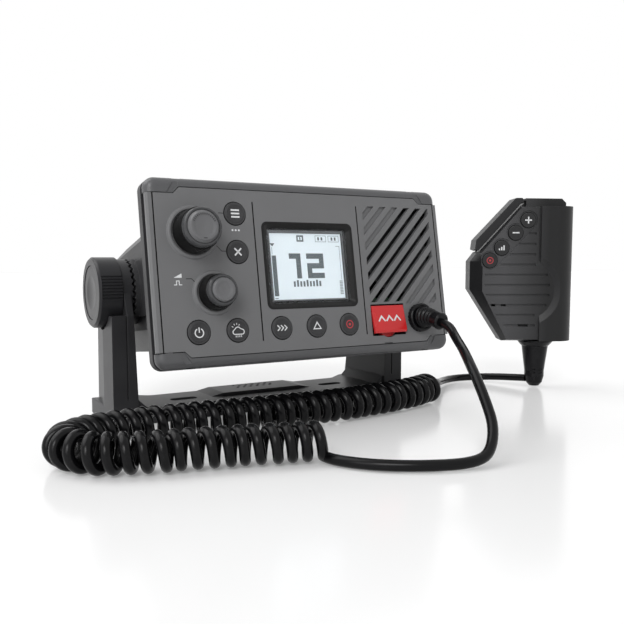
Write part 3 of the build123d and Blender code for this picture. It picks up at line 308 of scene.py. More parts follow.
# finishes
surfaceSet = {
    "grainNoise": (3.0, 0.6),       # detail and roughness of the noise
    "cloudNoise": (4.0, 0.6), "cloudScale": 60.0, "cloudStops": (0.3, 0.7),
    "roughnessSpread": 0.05,
    "bumpDepth": 0.00006,
    "edgeSamples": 4,
    "coatRoughness": 0.15,
    "wornTint": 2.4,                # how much paler a rubbed edge is
    "wornRange": (0.995, 0.90),     # cosine between the rounded and the true surface, from fresh to rubbed
}
brushSet = {
    "scale": 900.0, "stretch": (1, 1, 40), "stops": (0.2, 0.8), "tints": (0.85, 1.1),
    "roughnessSpread": 0.08,
}
glassSet = {
    "tint": (0.97, 0.985, 1.0), "index": 1.2,
    "smearScale": 90.0, "smearNoise": (3.0, 0.6), "roughness": (0.02, 0.07),
}
glowSet = {
    "cloudScale": 30.0, "cloudNoise": (1.0, 0.5), "cloudStops": (0.3, 0.7), "tints": (0.96, 1.03),
    "lineTint": 0.90, "roughness": 0.35,
    "cells": {"Scale": 1000.0, "Mortar Size": 0.04, "Brick Width": 0.36, "Row Height": 0.36},
}


def newMaterial(name):
    material = bpy.data.materials.new(name)
    material.use_nodes = True
    tree = material.node_tree
    return material, tree, tree.nodes["Principled BSDF"]


def link(tree, source, target):
    tree.links.new(source, target)


def addNode(tree, kind, **values):
    node = tree.nodes.new(kind)
    for key, value in values.items():
        setattr(node, key, value)
    return node


def noiseAt(tree, scale, detail=2.0, roughness=0.5, stretch=None):
    spot = addNode(tree, "ShaderNodeTexCoord")
    noise = addNode(tree, "ShaderNodeTexNoise")
    noise.inputs["Scale"].default_value = scale
    noise.inputs["Detail"].default_value = detail
    noise.inputs["Roughness"].default_value = roughness
    source = spot.outputs["Object"]
    if stretch:
        mapping = addNode(tree, "ShaderNodeMapping")
        mapping.inputs["Scale"].default_value = stretch
        link(tree, source, mapping.inputs["Vector"])
        source = mapping.outputs["Vector"]
    link(tree, source, noise.inputs["Vector"])
    return noise.outputs["Fac"]


def ramp(tree, source, stops):
    node = addNode(tree, "ShaderNodeValToRGB")
    elements = node.color_ramp.elements
    while len(elements) < len(stops):
        elements.new(0.5)
    for element, (position, colour) in zip(elements, stops):
        element.position = position
        element.color = (*colour, 1.0)
    link(tree, source, node.inputs["Fac"])
    return node.outputs["Color"]


def spread(tree, source, low, high, start=0.0, end=1.0):
    node = addNode(tree, "ShaderNodeMapRange")
    for name, value in (("From Min", start), ("From Max", end), ("To Min", low), ("To Max", high)):
        node.inputs[name].default_value = value
    link(tree, source, node.inputs["Value"])
    return node.outputs["Result"]


def tinted(colour, amount):
    return tuple(min(1.0, max(0.0, c * amount)) for c in colour)


def clouded(tree, source, colour, stops, tints):
    return ramp(tree, source, [(stop, tinted(colour, tint)) for stop, tint in zip(stops, tints)])


def paintedShadeAlong(tree, colour, matrix, start, end, low):
    # painted shade: the colour sinks to a share of itself between two places on the matrix's x axis, in
    # millimetres
    axis = matrix.to_3x3().col[0]
    origin = matrix.translation.dot(axis)
    along = addNode(tree, "ShaderNodeVectorMath", operation="DOT_PRODUCT")
    link(tree, addNode(tree, "ShaderNodeTexCoord").outputs["Object"], along.inputs[0])
    along.inputs[1].default_value = axis
    factor = spread(tree, along.outputs["Value"], 1.0, low, (start + origin) * mm, (end + origin) * mm)
    scaled = addNode(tree, "ShaderNodeVectorMath", operation="SCALE")
    link(tree, colour, scaled.inputs[0])
    link(tree, factor, scaled.inputs["Scale"])
    return scaled.outputs["Vector"]


def moulded(name, colour, roughness=0.45, grain=0.35, grainSize=0.00045, mottle=0.06, edge=0.00035,
            wear=0.0, specular=0.5, coat=0.0, paintedShade=None):
    # moulded plastic or painted metal: fine grain, cloudy tone, rounded edges rubbed a little paler, and, where
    # asked, painted shade along one axis
    s = surfaceSet
    material, tree, shader = newMaterial(name)
    fine = noiseAt(tree, 1 / grainSize, *s["grainNoise"])
    broad = noiseAt(tree, s["cloudScale"], *s["cloudNoise"])
    body = clouded(tree, broad, colour, s["cloudStops"], (1 - mottle, 1 + mottle))
    rounded = addNode(tree, "ShaderNodeBevel", samples=s["edgeSamples"])
    rounded.inputs["Radius"].default_value = edge
    if wear:
        straight = addNode(tree, "ShaderNodeNewGeometry")
        facing = addNode(tree, "ShaderNodeVectorMath", operation="DOT_PRODUCT")
        link(tree, rounded.outputs["Normal"], facing.inputs[0])
        link(tree, straight.outputs["Normal"], facing.inputs[1])
        mix = addNode(tree, "ShaderNodeMix", data_type="RGBA")
        link(tree, spread(tree, facing.outputs["Value"], 0.0, wear, *s["wornRange"]), mix.inputs["Factor"])
        link(tree, body, mix.inputs[6])
        mix.inputs[7].default_value = (*tinted(colour, s["wornTint"]), 1.0)
        body = mix.outputs[2]
    if paintedShade:
        body = paintedShadeAlong(tree, body, *paintedShade)
    link(tree, body, shader.inputs["Base Color"])
    low, high = roughness - s["roughnessSpread"], roughness + s["roughnessSpread"]
    link(tree, spread(tree, broad, low, high), shader.inputs["Roughness"])
    bump = addNode(tree, "ShaderNodeBump")
    bump.inputs["Strength"].default_value = grain
    bump.inputs["Distance"].default_value = s["bumpDepth"]
    link(tree, fine, bump.inputs["Height"])
    link(tree, rounded.outputs["Normal"], bump.inputs["Normal"])
    link(tree, bump.outputs["Normal"], shader.inputs["Normal"])
    shader.inputs["Specular IOR Level"].default_value = specular
    shader.inputs["Coat Weight"].default_value = coat
    shader.inputs["Coat Roughness"].default_value = s["coatRoughness"]
    return material


def brushed(name, colour, roughness):
    # bare metal with fine lines along its height
    material, tree, shader = newMaterial(name)
    lines = noiseAt(tree, brushSet["scale"], stretch=brushSet["stretch"])
    tone = clouded(tree, lines, colour, brushSet["stops"], brushSet["tints"])
    link(tree, tone, shader.inputs["Base Color"])
    low, high = roughness - brushSet["roughnessSpread"], roughness + brushSet["roughnessSpread"]
    link(tree, spread(tree, lines, low, high), shader.inputs["Roughness"])
    shader.inputs["Metallic"].default_value = 1.0
    return material


def clearWindow(name):
    # clear plastic with faint smears
    material, tree, shader = newMaterial(name)
    smears = noiseAt(tree, glassSet["smearScale"], *glassSet["smearNoise"])
    link(tree, spread(tree, smears, *glassSet["roughness"]), shader.inputs["Roughness"])
    shader.inputs["Base Color"].default_value = (*glassSet["tint"], 1.0)
    shader.inputs["Transmission Weight"].default_value = 1.0
    shader.inputs["IOR"].default_value = glassSet["index"]
    return material


def paintedGlowScreen(name, colour, glow):
    # painted light: a screen that glows, standing in for the light the window keeps off it; a fine grid of
    # picture cells over a slightly cloudy glow
    material, tree, shader = newMaterial(name)
    broad = noiseAt(tree, glowSet["cloudScale"], *glowSet["cloudNoise"])
    tone = clouded(tree, broad, colour, glowSet["cloudStops"], glowSet["tints"])
    grid = addNode(tree, "ShaderNodeTexBrick", offset=0.0)
    for key, value in glowSet["cells"].items():
        grid.inputs[key].default_value = value
    grid.inputs["Mortar"].default_value = (*tinted(colour, glowSet["lineTint"]), 1.0)
    spot = addNode(tree, "ShaderNodeTexCoord")
    flat = addNode(tree, "ShaderNodeMapping")
    flat.inputs["Rotation"].default_value = (radians(90), 0, 0)
    link(tree, spot.outputs["Object"], flat.inputs["Vector"])
    link(tree, flat.outputs["Vector"], grid.inputs["Vector"])
    for side in ("Color1", "Color2"):
        link(tree, tone, grid.inputs[side])
    link(tree, grid.outputs["Color"], shader.inputs["Base Color"])
    link(tree, grid.outputs["Color"], shader.inputs["Emission Color"])
    shader.inputs["Emission Strength"].default_value = glow
    shader.inputs["Roughness"].default_value = glowSet["roughness"]
    return material


finishes = {
    "bracket_plastic": moulded("bracketPlastic", (0.026, 0.026, 0.028), 0.40, grain=0.30, wear=0.25,
                               edge=0.0006, specular=0.24),
    "clamp_plastic": moulded("clampPlastic", (0.022, 0.022, 0.024), 0.30, grain=0.22, wear=0.25,
                             edge=0.0005, specular=0.20),
    "panel_grey": moulded("panelGrey", (0.158, 0.159, 0.163), 0.44, grain=0.30, mottle=0.025,
                          edge=0.0003, wear=0.15, specular=0.35),
    "trim_grey": moulded("trimGrey", (0.090, 0.091, 0.095), 0.34, grain=0.25, mottle=0.03, edge=0.0004,
                         wear=0.2, specular=0.4),
    "key_rubber": moulded("keyRubber", (0.045, 0.045, 0.047), 0.44, grain=0.35, edge=0.0004, wear=0.3,
                          specular=0.3),
    "knob_black": moulded("knobBlack", (0.004, 0.004, 0.004), 0.28, grain=0.20, edge=0.0004,
                          specular=0.10),
    "knob_grey": moulded("knobGrey", (0.055, 0.056, 0.059), 0.22, grain=0.12, edge=0.0004, wear=0.25,
                         specular=0.35),
    "cap_grey": moulded("capGrey", (0.140, 0.141, 0.146), 0.34, grain=0.25, edge=0.0003, wear=0.2,
                        specular=0.35),
    "signal_red": moulded("signalRed", (0.600, 0.016, 0.018), 0.26, grain=0.12, mottle=0.03, edge=0.0005,
                          coat=0.25, specular=0.35),
    "window_glass": clearWindow("displayGlass"),
    "module_black": moulded("moduleBlack", (0.030, 0.031, 0.034), 0.55),
    "gasket_rubber": moulded("gasketRubber", (0.006, 0.006, 0.007), 0.60, specular=0.2),
    "housing_metal": moulded("housingCoat", (0.030, 0.030, 0.032), 0.42, grain=0.45, grainSize=0.0007,
                             wear=0.25, specular=0.35),
    "steel": brushed("brushedSteel", (0.56, 0.56, 0.57), 0.32),
    "socket_metal": brushed("nickelPlate", (0.62, 0.61, 0.58), 0.2),
    "board_green": moulded("boardGreen", (0.03, 0.12, 0.05), 0.4, grain=0.1),
    "speaker_black": moulded("speakerCloth", (0.012, 0.012, 0.013), 0.8, grain=0.8, grainSize=0.0009),
    "plug_black": moulded("plugBlack", (0.005, 0.005, 0.006), 0.22, grain=0.14, edge=0.0004,
                          specular=0.18),
    "cord_black": moulded("cordBlack", (0.0035, 0.0035, 0.004), 0.22, grain=0.05, edge=0.0001,
                          specular=0.16),
    # painted shade: the hand microphone's grey sinks towards its right-hand column
    "handset_grey": moulded("handsetGrey", (0.070, 0.070, 0.073), 0.40, grain=0.45, grainSize=0.0006,
                            wear=0.3, edge=0.0006, specular=0.25, paintedShade=(handsetMatrix, -26.0, 4.0, 0.16)),
    "handset_key_grey": moulded("handsetKey", (0.018, 0.018, 0.019), 0.38, grain=0.3, edge=0.0005,
                                specular=0.3),
    "bar_black": moulded("barBlack", (0.013, 0.013, 0.014), 0.42, grain=0.5, grainSize=0.0006,
                         edge=0.0006, specular=0.3),
}
extraFinishes = {
    # black ink for the printed mask and the painted edge round the display, and painted shade in recesses and
    # behind joints
    "inkAndShade": moulded("blackInkAndShade", (0.004, 0.004, 0.004), 0.26, grain=0.10, edge=0.0004, specular=0.25),
    "surround": moulded("screenSurround", (0.120, 0.124, 0.128), 0.35, grain=0.12, edge=0.0003),
    "whitePrint": moulded("whitePrint", (0.780, 0.790, 0.800), 0.45, grain=0.15, mottle=0.03, edge=0.0001),
    "darkPrint": moulded("darkPrint", (0.010, 0.010, 0.011), 0.45, grain=0.15, edge=0.0001),
    "redPrint": moulded("redPrint", (0.480, 0.040, 0.050), 0.45, grain=0.15, edge=0.0001),
    "keyTop": moulded("keyTop", (0.034, 0.034, 0.036), 0.50, grain=0.45, grainSize=0.0005, edge=0.0002,
                      wear=0.35, specular=0.3),
    # painted shade: a darker grey for the hand microphone's left-facing sides
    "flank": moulded("handsetShadedFlank", (0.014, 0.014, 0.015), 0.40, grain=0.45, grainSize=0.0006, wear=0.3,
                     edge=0.0006, specular=0.25),
    # painted light: the screen glows
    "screen": paintedGlowScreen("screenGlow", (0.68, 0.74, 0.765), 0.34),
    "screenInk": moulded("screenInk", (0.120, 0.142, 0.150), 0.50, grain=0.05, mottle=0.02, edge=0.0001),
    "screenFaint": moulded("screenFaint", (0.300, 0.350, 0.370), 0.50, grain=0.05, mottle=0.02,
                           edge=0.0001),
}


def dressParts():
    slots = {part["node"]: part["material_slot"] for part in frame["record"]["subparts"]}
    for name, node in nodes.items():
        node.data.materials.clear()
        node.data.materials.append(finishes[slots[name]])


def dressFaces(node, finish, wanted, matrix=radioMatrix):
    # another finish on the faces whose middle the test wants
    data = nodes[node].data
    data.materials.append(finish)
    index = len(data.materials) - 1
    back = matrix.inverted()
    turned = back.to_3x3()
    for face in data.polygons:
        if wanted(back @ (face.center / mm), turned @ face.normal):
            face.material_index = index


recessSet = {
    "window": (-29.2, 27.0, -20.3, 26.3),      # left, right, bottom, top of the display's funnel
    "tub": (36.1, 59.9, -38.7, -20.2),
    "grooves": (-89.2, -34.3, 32.2, 89.2),
    "grooveHalf": 0.6, "grooveBack": -72.0,
    "skin": -73.97,                            # faces deeper than this line the recess
    "keyRow": ((-10.7, 120.5), (-37.1, 92.2)),
    "bayWall": (-13.98, -13.32), "bayReach": 8,
    "frontFacing": -0.5, "flankFacing": -0.25,     # a face counts as one when it points that far towards it
}


def inRecess(name):
    left, right, bottom, top = recessSet[name]
    return lambda at, normal: left < at.x < right and bottom < at.z < top and at.y > recessSet["skin"]


def inGroove(at, normal):
    near = min(abs(at.x - x) for x in recessSet["grooves"])
    return near < recessSet["grooveHalf"] and recessSet["skin"] < at.y < recessSet["grooveBack"]


def inKeyBay(at, normal):
    # the low wall round the hand microphone's slanting row of keys
    first, last = (Vector(end) for end in recessSet["keyRow"])
    front, back = recessSet["bayWall"]
    run = (last - first).normalized()
    aside = Vector((at.x, at.z)) - first
    return front < at.y < back and abs(run.x * aside.y - run.y * aside.x) < recessSet["bayReach"]


def onFront(at, normal):
    return normal.y < recessSet["frontFacing"]


def onFlank(at, normal):
    return normal.x < recessSet["flankFacing"]


curlyCord.data.materials.append(finishes["cord_black"])
plugBoot.data.materials.append(finishes["plug_black"])
dressParts()
# painted shade: the display's funnel, the cover's tub and the panel's grooves are painted black
for wanted in (inRecess("window"), inRecess("tub"), inGroove):
    dressFaces("face_panel", extraFinishes["inkAndShade"], wanted)
dressFaces("display_module", extraFinishes["surround"], onFront)
# painted shade: the low wall round the hand microphone's key bay is painted black
dressFaces("handset_front_shell", extraFinishes["inkAndShade"], inKeyBay, handsetMatrix)
# painted shade: the hand microphone's left-facing sides are painted darker than its front
for shell in ("handset_front_shell", "handset_rear_shell"):
    dressFaces(shell, extraFinishes["flank"], onFlank, handsetMatrix)
print("finishes on")


# marks: thin printed or moulded shapes on a face, from strokes and patches
markSet = {
    "sharpest": 0.5,                                # where a stroke's corner stops growing
    "print": 0.03, "paint": 0.04, "raised": 0.05,   # how far a mark stands off its face
}


def arcPoints(x, z, radius, start, end, count=24):
    turns = [radians(start + (end - start) * i / count) for i in range(count + 1)]
    return [(x + radius * cos(a), z + radius * sin(a)) for a in turns]


def circlePoints(x, z, radius, count=16):
    return arcPoints(x, z, radius, 0, 360 - 360 / count, count - 1)


def stroke(width, *points):
    return {"width": width, "points": [Vector(p) for p in points], "closed": False}


def loop(width, *points):
    return {"width": width, "points": [Vector(p) for p in points], "closed": True}


def patch(*points):
    return {"width": 0, "points": [Vector(p) for p in points], "closed": True}


def box(left, right, bottom, top):
    return (left, bottom), (right, bottom), (right, top), (left, top)


def barRow(left, right, bottom, top, pitch, count):
    return [patch(*box(left + pitch * i, right + pitch * i, bottom, top)) for i in range(count)]


def spokes(width, middle, near, far, angles):
    x, z = middle
    runs = [(cos(radians(a)), sin(radians(a))) for a in angles]
    return [stroke(width, (x + near * c, z + near * s), (x + far * c, z + far * s)) for c, s in runs]


def moved(shapes, x, z):
    return [{**s, "points": [p + Vector((x, z)) for p in s["points"]]} for s in shapes]


def edgePoints(shape):
    # the two edges of a stroke, mitred at its corners
    points, half = shape["points"], shape["width"] / 2
    count = len(points)
    left, right = [], []
    for i, point in enumerate(points):
        before = points[i - 1] if i or shape["closed"] else None
        after = points[(i + 1) % count] if i < count - 1 or shape["closed"] else None
        runs = []
        if before is not None:
            runs.append((point - before).normalized())
        if after is not None:
            runs.append((after - point).normalized())
        along = sum(runs, Vector((0, 0))).normalized()
        across = Vector((-along.y, along.x))
        reach = half / max(markSet["sharpest"], abs(across.dot(Vector((-runs[0].y, runs[0].x)))))
        left.append(point + across * reach)
        right.append(point - across * reach)
    return left, right


def markMesh(name, shapes, depth, thick, matrix):
    form = bmesh.new()
    for shape in shapes:
        if shape["width"] == 0:
            form.faces.new([form.verts.new((p.x, depth, p.y)) for p in shape["points"]])
            continue
        left, right = edgePoints(shape)
        leftRow = [form.verts.new((p.x, depth, p.y)) for p in left]
        rightRow = [form.verts.new((p.x, depth, p.y)) for p in right]
        count = len(leftRow)
        for i in range(count if shape["closed"] else count - 1):
            j = (i + 1) % count
            form.faces.new((leftRow[i], leftRow[j], rightRow[j], rightRow[i]))
    raised = bmesh.ops.extrude_face_region(form, geom=form.faces[:])
    front = [g for g in raised["geom"] if isinstance(g, bmesh.types.BMVert)]
    bmesh.ops.translate(form, verts=front, vec=(0, -thick, 0))
    return meshOf(form, name, matrix)


def addPiece(name, mesh, body, finish):
    piece = addObject(name, mesh)
    mesh.materials.append(finish)
    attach(piece, body)


def addMark(name, shapes, depth, body, finish, matrix=radioMatrix, thick=markSet["raised"]):
    addPiece(name, markMesh(name, shapes, depth, thick, matrix), body, finish)


def addTurned(name, profile, at, depth, body, finish, steps=48):
    # a shape turned about an axis square to the radio's face; profile is (radius, height above the face)
    form = bmesh.new()
    turns = [2 * pi * i / steps for i in range(steps)]
    rows = []
    for radius, height in profile:
        if radius == 0:
            rows.append([form.verts.new((at[0], depth - height, at[1]))] * steps)
            continue
        ring = [(at[0] + radius * cos(a), depth - height, at[1] + radius * sin(a)) for a in turns]
        rows.append([form.verts.new(place) for place in ring])
    for low, high in zip(rows, rows[1:]):
        for i in range(steps):
            j = (i + 1) % steps
            corners = dict.fromkeys((low[i], low[j], high[j], high[i]))
            form.faces.new(list(corners))       # three corners at the middle, four elsewhere
    mesh = meshOf(form, name, radioMatrix)
    for face in mesh.polygons:
        face.use_smooth = True
    addPiece(name, mesh, body, finish)


# legends of the radio's keys: plain symbols, each round its own middle
menuBars = [patch(*box(-2.4, 2.4, z - 0.45, z + 0.45)) for z in (1.8, 0, -1.8)]
crossLines = [stroke(0.85, (-1.9, -1.9), (1.9, 1.9)), stroke(0.85, (-1.9, 1.9), (1.9, -1.9))]
powerSign = [stroke(0.62, *arcPoints(0, -0.3, 2.25, 118, 422)), stroke(0.62, (0, -0.2), (0, 2.5))]
cloud = (arcPoints(-1.9, -0.9, 1.2, 270, 110, 10) + arcPoints(-0.2, 0.1, 1.6, 140, 30, 10)
         + arcPoints(2.0, -0.8, 1.3, 80, -90, 10))
weatherSign = [loop(0.5, *cloud)]
weatherSign += [stroke(0.42, (x, -2.7), (x, -3.6)) for x in (-1.5, -0.5, 0.5, 1.5)]
weatherSign += spokes(0.42, (-0.9, 0.9), 2.0, 2.9, (50, 85, 120, 155))
scanSign = [stroke(0.6, (x - 0.9, 1.5), (x + 0.6, 0), (x - 0.9, -1.5)) for x in (-2.0, 0.1, 2.2)]
triangleSign = [loop(0.6, (-2.3, -1.5), (2.3, -1.5), (0, 2.1))]
ringSign = [loop(0.6, *circlePoints(0, 0, 2.1, 24)), patch(*circlePoints(0, 0, 0.8))]
keySet = {
    "menu_key": {"at": (-45.0, 30.6), "sign": menuBars},
    "cancel_key": {"at": (-45.1, 10.2), "sign": crossLines},
    "power_key": {"at": (-70.1, -31.0), "sign": powerSign},
    "weather_key": {"at": (-48.6, -31.0), "sign": weatherSign},
    "scan_key": {"at": (-22.7, -31.0), "sign": scanSign},
    "tri_watch_key": {"at": (-0.9, -31.0), "sign": triangleSign},
    "channel_key": {"at": (20.5, -31.0), "sign": ringSign, "print": "redPrint"},
}
keyTopProfile = [(0, 0.05), (4.25, 0.05), (4.55, 0.22), (4.95, 0.22), (5.2, 0.0)]      # radius, height


def addKeySigns():
    for key, facts in keySet.items():
        front = frontOf(key)
        top = front - keyTopProfile[0][1]
        name = key.replace("_key", "")
        ink = extraFinishes[facts.get("print", "whitePrint")]
        addTurned(name + "KeyTop", keyTopProfile, facts["at"], front, key,
                  extraFinishes["keyTop"])
        addMark(name + "KeySign", moved(facts["sign"], *facts["at"]), top, key, ink)


addKeySigns()
print("key signs on")


# lines and small signs on the panel
loudnessSign = [
    patch((-1.7, 0), (2.6, 0), (2.6, 2.2)),
    stroke(0.45, (-1.7, -3.6), (-0.3, -3.6), (-0.3, -1.6), (1.1, -1.6), (1.1, -3.6), (2.6, -3.6)),
]
dotSign = [patch(*circlePoints(x, 0, 0.55)) for x in (-1.8, 0, 1.8)]
panelSigns = {
    "leaderWidth": 0.42,
    "leaders": [[(-54.3, 30.8), (-51.6, 30.7)], [(-57.0, 13.7), (-54.0, 10.6), (-51.6, 10.6)],
                [(-74.8, -3.6), (-71.8, -3.6), (-68.5, -7.1)]],
    "loudnessAt": (-79.6, -3.0),
    "dotsAt": (-45.2, 21.8),
}


def addPanelSigns():
    face = radioPlace["faceY"]
    lines = [stroke(panelSigns["leaderWidth"], *line) for line in panelSigns["leaders"]]
    small = moved(loudnessSign, *panelSigns["loudnessAt"]) + moved(dotSign, *panelSigns["dotsAt"])
    addMark("leaderLines", lines, face, "radio", extraFinishes["darkPrint"],
            thick=markSet["print"])
    addMark("panelSigns", small, face, "radio", extraFinishes["whitePrint"],
            thick=markSet["print"])


addPanelSigns()


# the channel knob's cap: fine ticks round the finger dish, and a short line below it
knobSet = {
    "at": (-69.2, 20.2), "ring": 6.1,
    "tick": 0.9, "tickWidth": 0.5, "arc": (25, 155), "count": 14,
    "line": 1.8, "lineWidth": 0.45,
}


def addKnobTicks():
    k = knobSet
    x, z = k["at"]
    start, end = k["arc"]
    angles = [start + (end - start) * i / (k["count"] - 1) for i in range(k["count"])]
    marks = spokes(k["tickWidth"], k["at"], k["ring"] - k["tick"] / 2, k["ring"] + k["tick"] / 2, angles)
    left, right, low = x - k["line"] / 2, x + k["line"] / 2, z - k["ring"]
    marks.append(stroke(k["lineWidth"], (left, low), (right, low)))
    addMark("channelCapTicks", marks, frontOf("channel_knob_cap"), "channel_knob",
            extraFinishes["darkPrint"], thick=markSet["print"])


addKnobTicks()
print("panel signs and ticks on")


# the screen, glowing with painted light, with its signs, behind the window
screenSet = {
    "left": -24.2, "right": 22.0, "bottom": -15.5, "top": 21.5,
    "back": -69.95,
    "sheet": 0.06,
    "figure": 3.0,           # width of the big figures' strokes
}


def figureShapes():
    # the number, with a row of bars under it
    width = screenSet["figure"]
    number = [stroke(width, (-12.7, 8.7), (-6.9, 8.7), (-6.9, -3.8)),
              stroke(width, (-1.7, 8.7), (7.9, 8.7), (7.9, 3.2), (0.0, 3.2), (0.0, -2.3), (9.5, -2.3))]
    tops = [-5.4 + 0.7 * (i % 3 == 1) for i in range(9)]
    return number + [patch(*box(-11.0 + 2.05 * i, -9.8 + 2.05 * i, -8.4, top)) for i, top in enumerate(tops)]


def statusShapes():
    # the level at the left with its pointer, and the small signs above
    shapes = [patch(*box(-23.3, -20.7, -13.4, 9.0)), patch((-24.0, 15.8), (-22.5, 14.0), (-21.0, 15.8))]
    shapes += [loop(0.9, *box(-6.5, -3.0, 17.3, 20.0)), stroke(0.8, (-4.75, 17.9), (-4.75, 19.4))]
    return shapes + barRow(6.6, 7.7, 17.7, 19.5, 2.2, 2) + barRow(15.5, 16.6, 17.7, 19.5, 2.2, 2)


def faintShapes():
    # empty frames, the unlit steps at the right, and thin guide lines
    frames = [loop(0.3, *box(5.2, 12.1, 16.9, 20.3)), loop(0.3, *box(13.7, 20.6, 16.9, 20.3))]
    steps = [patch(*box(19.0, 21.1, -6.0 - 0.9 * i, -5.4 - 0.9 * i)) for i in range(9)]
    lines = [stroke(0.3, (-22.9, 13.6), (-22.9, 9.6)), stroke(0.3, (18.2, 14.4), (20.6, 14.4), (20.6, -5.0)),
             patch(*box(-23.2, -21.2, -14.9, -14.3))]
    return frames + steps + lines


def addScreen():
    s = screenSet
    front = s["back"] - s["sheet"]
    sheet = [patch(*box(s["left"], s["right"], s["bottom"], s["top"]))]
    addMark("screenSheet", sheet, s["back"], "radio", extraFinishes["screen"],
            thick=s["sheet"])
    addMark("screenSigns", figureShapes() + statusShapes(), front, "radio",
            extraFinishes["screenInk"], thick=markSet["print"])
    addMark("screenFaintSigns", faintShapes(), front, "radio",
            extraFinishes["screenFaint"], thick=markSet["print"])


addScreen()


# round the display: a black edge on the face, and the printed mask behind the glass
displayEdge = {
    "middle": (-1.1, 3.0),
    "outer": (58.0, 47.8, 3.4),      # width, height, corner radius
    "inner": (55.0, 45.6, 2.9),
    "maskBack": -71.05,
    "maskReach": (25.0, 20.5),              # half width, half height
    "maskOpening": (24.2, -19.3, 20.0),     # half width, bottom, top
    "maskGap": 0.1,                         # between its four strips
}


def roundedBox(middle, width, height, radius, count=8):
    x, z = middle
    corners = ((1, 1, 0), (-1, 1, 90), (-1, -1, 180), (1, -1, 270))
    points = []
    for sideX, sideZ, turn in corners:
        cx, cz = x + sideX * (width / 2 - radius), z + sideZ * (height / 2 - radius)
        points += arcPoints(cx, cz, radius, turn, turn + 90, count)
    return points


def addDisplayEdge():
    d = displayEdge
    outer = roundedBox(d["middle"], *d["outer"])
    inner = roundedBox(d["middle"], *d["inner"])
    count = len(outer)
    ring = []
    for i in range(count):
        j = (i + 1) % count
        ring.append(patch(outer[i], outer[j], inner[j], inner[i]))
    addMark("displayEdge", ring, radioPlace["faceY"], "radio", extraFinishes["inkAndShade"],
            thick=markSet["paint"])
    wide, high = d["maskReach"]
    side, bottom, top = d["maskOpening"]
    low, up = bottom + d["maskGap"], top - d["maskGap"]
    strips = [(-wide, wide, -high, bottom), (-wide, wide, top, high),
              (-wide, -side, low, up), (side, wide, low, up)]
    mask = moved([patch(*box(*strip)) for strip in strips], *d["middle"])
    addMark("displayMask", mask, d["maskBack"], "radio", extraFinishes["inkAndShade"],
            thick=markSet["print"])


addDisplayEdge()
print("screen lit")


# the red cover: three chevrons that say which way it lifts, on a front that leans out towards its lower edge
coverSet = {
    "hinge": (48.0, -74.2, -21.2), "lean": 8.08,
    "middle": -7.8, "pitch": 5.5, "width": 4.6, "height": 3.0, "line": 0.95,
}


def addCoverSign():
    c = coverSet
    wide, high = c["width"] / 2, c["height"] / 2
    chevron = [stroke(c["line"], (-wide, -high), (0, high), (wide, -high))]
    shapes = []
    for step in (-1, 0, 1):
        shapes += moved(chevron, step * c["pitch"], c["middle"])
    matrix = radioMatrix @ placed(c["hinge"], -c["lean"], "X")
    addMark("coverSign", shapes, 0.0, "distress_cover", extraFinishes["whitePrint"],
            matrix, markSet["paint"])


addCoverSign()
print("cover marked")


# the hand microphone's keys
plusSign = [stroke(0.9, (-2.4, 0), (2.4, 0)), stroke(0.9, (0, -2.4), (0, 2.4))]
minusSign = [stroke(0.9, (-2.4, 0), (2.4, 0))]
levelSign = [patch(*box(-2.3 + 1.6 * i, -1.3 + 1.6 * i, -1.7, -0.5 + 1.1 * i)) for i in range(3)]
handsetKeySet = {
    "handset_plus_key": {"at": (-10.7, 120.5), "sign": plusSign},
    "handset_minus_key": {"at": (-19.3, 111.7), "sign": minusSign},
    "handset_level_key": {"at": (-28.9, 101.1), "sign": levelSign},
    "handset_channel_key": {"at": (-37.1, 92.2), "sign": ringSign, "print": "redPrint"},
}


def addHandsetSigns():
    for key, facts in handsetKeySet.items():
        name = "".join(word.capitalize() for word in key.split("_")[1:-1])
        ink = extraFinishes[facts.get("print", "whitePrint")]
        addMark("handset" + name + "Sign", moved(facts["sign"], *facts["at"]), frontOf(key, handsetMatrix),
                key, ink, handsetMatrix, markSet["paint"])


addHandsetSigns()
print("hand microphone signs on")


# dark strips behind open joint lines: painted shade, so that no light shows through the mouldings
seamSet = {
    "lipEnds": (88.2, 91.6, 39.6, 41.3),      # near, far, low, high
    "lipBack": -70.9, "lipThick": 1.1,
    "barRoom": [(-43.1, 98.0), (-40.5, 101.0), (-11.9, 133.0), (-11.9, 134.8), (-10.3, 134.8),
                (-10.3, 130.5), (-38.5, 99.5)],
    "barBack": 6.0, "barThick": 12.0,
}


def addSeams():
    near, far, low, high = seamSet["lipEnds"]
    ends = []
    for side in ((near, far), (-far, -near)):
        for level in ((low, high), (-high, -low)):
            ends.append(patch(*box(*side, *level)))
    addMark("lipSeams", ends, seamSet["lipBack"], "radio", extraFinishes["inkAndShade"],
            thick=seamSet["lipThick"])
    addMark("barSeam", [patch(*seamSet["barRoom"])], seamSet["barBack"], "root",
            extraFinishes["inkAndShade"], handsetMatrix, seamSet["barThick"])


addSeams()
print("seams closed")


# floor and light
studioSet = {
    "floor": 8.0,
    "floorAt": -0.0004,      # a hair below the object, so that nothing lies in it
    "floorColour": 0.86,
    "floorGloss": 0.16,      # roughness, so that the object shows faintly in it
    "floorSpecular": 0.25,
    "floorLift": 0.18,       # the floor's own white as the camera sees it
    "ambient": 0.36,
    "suns": {
        "keyLight": {"towards": (0.50, 0.62, -0.60), "softness": 26, "strength": 1.05},
        "topLight": {"towards": (0.55, -0.45, -1.0), "softness": 50, "strength": 1.20},
    },
    "sideLamp": {"at": (-0.62, -0.50, 0.34), "size": 0.45, "power": 1.25},      # soft, at the left
}


def either(tree, first, second):
    node = addNode(tree, "ShaderNodeMath", operation="MAXIMUM")
    link(tree, first, node.inputs[0])
    link(tree, second, node.inputs[1])
    return node.outputs["Value"]


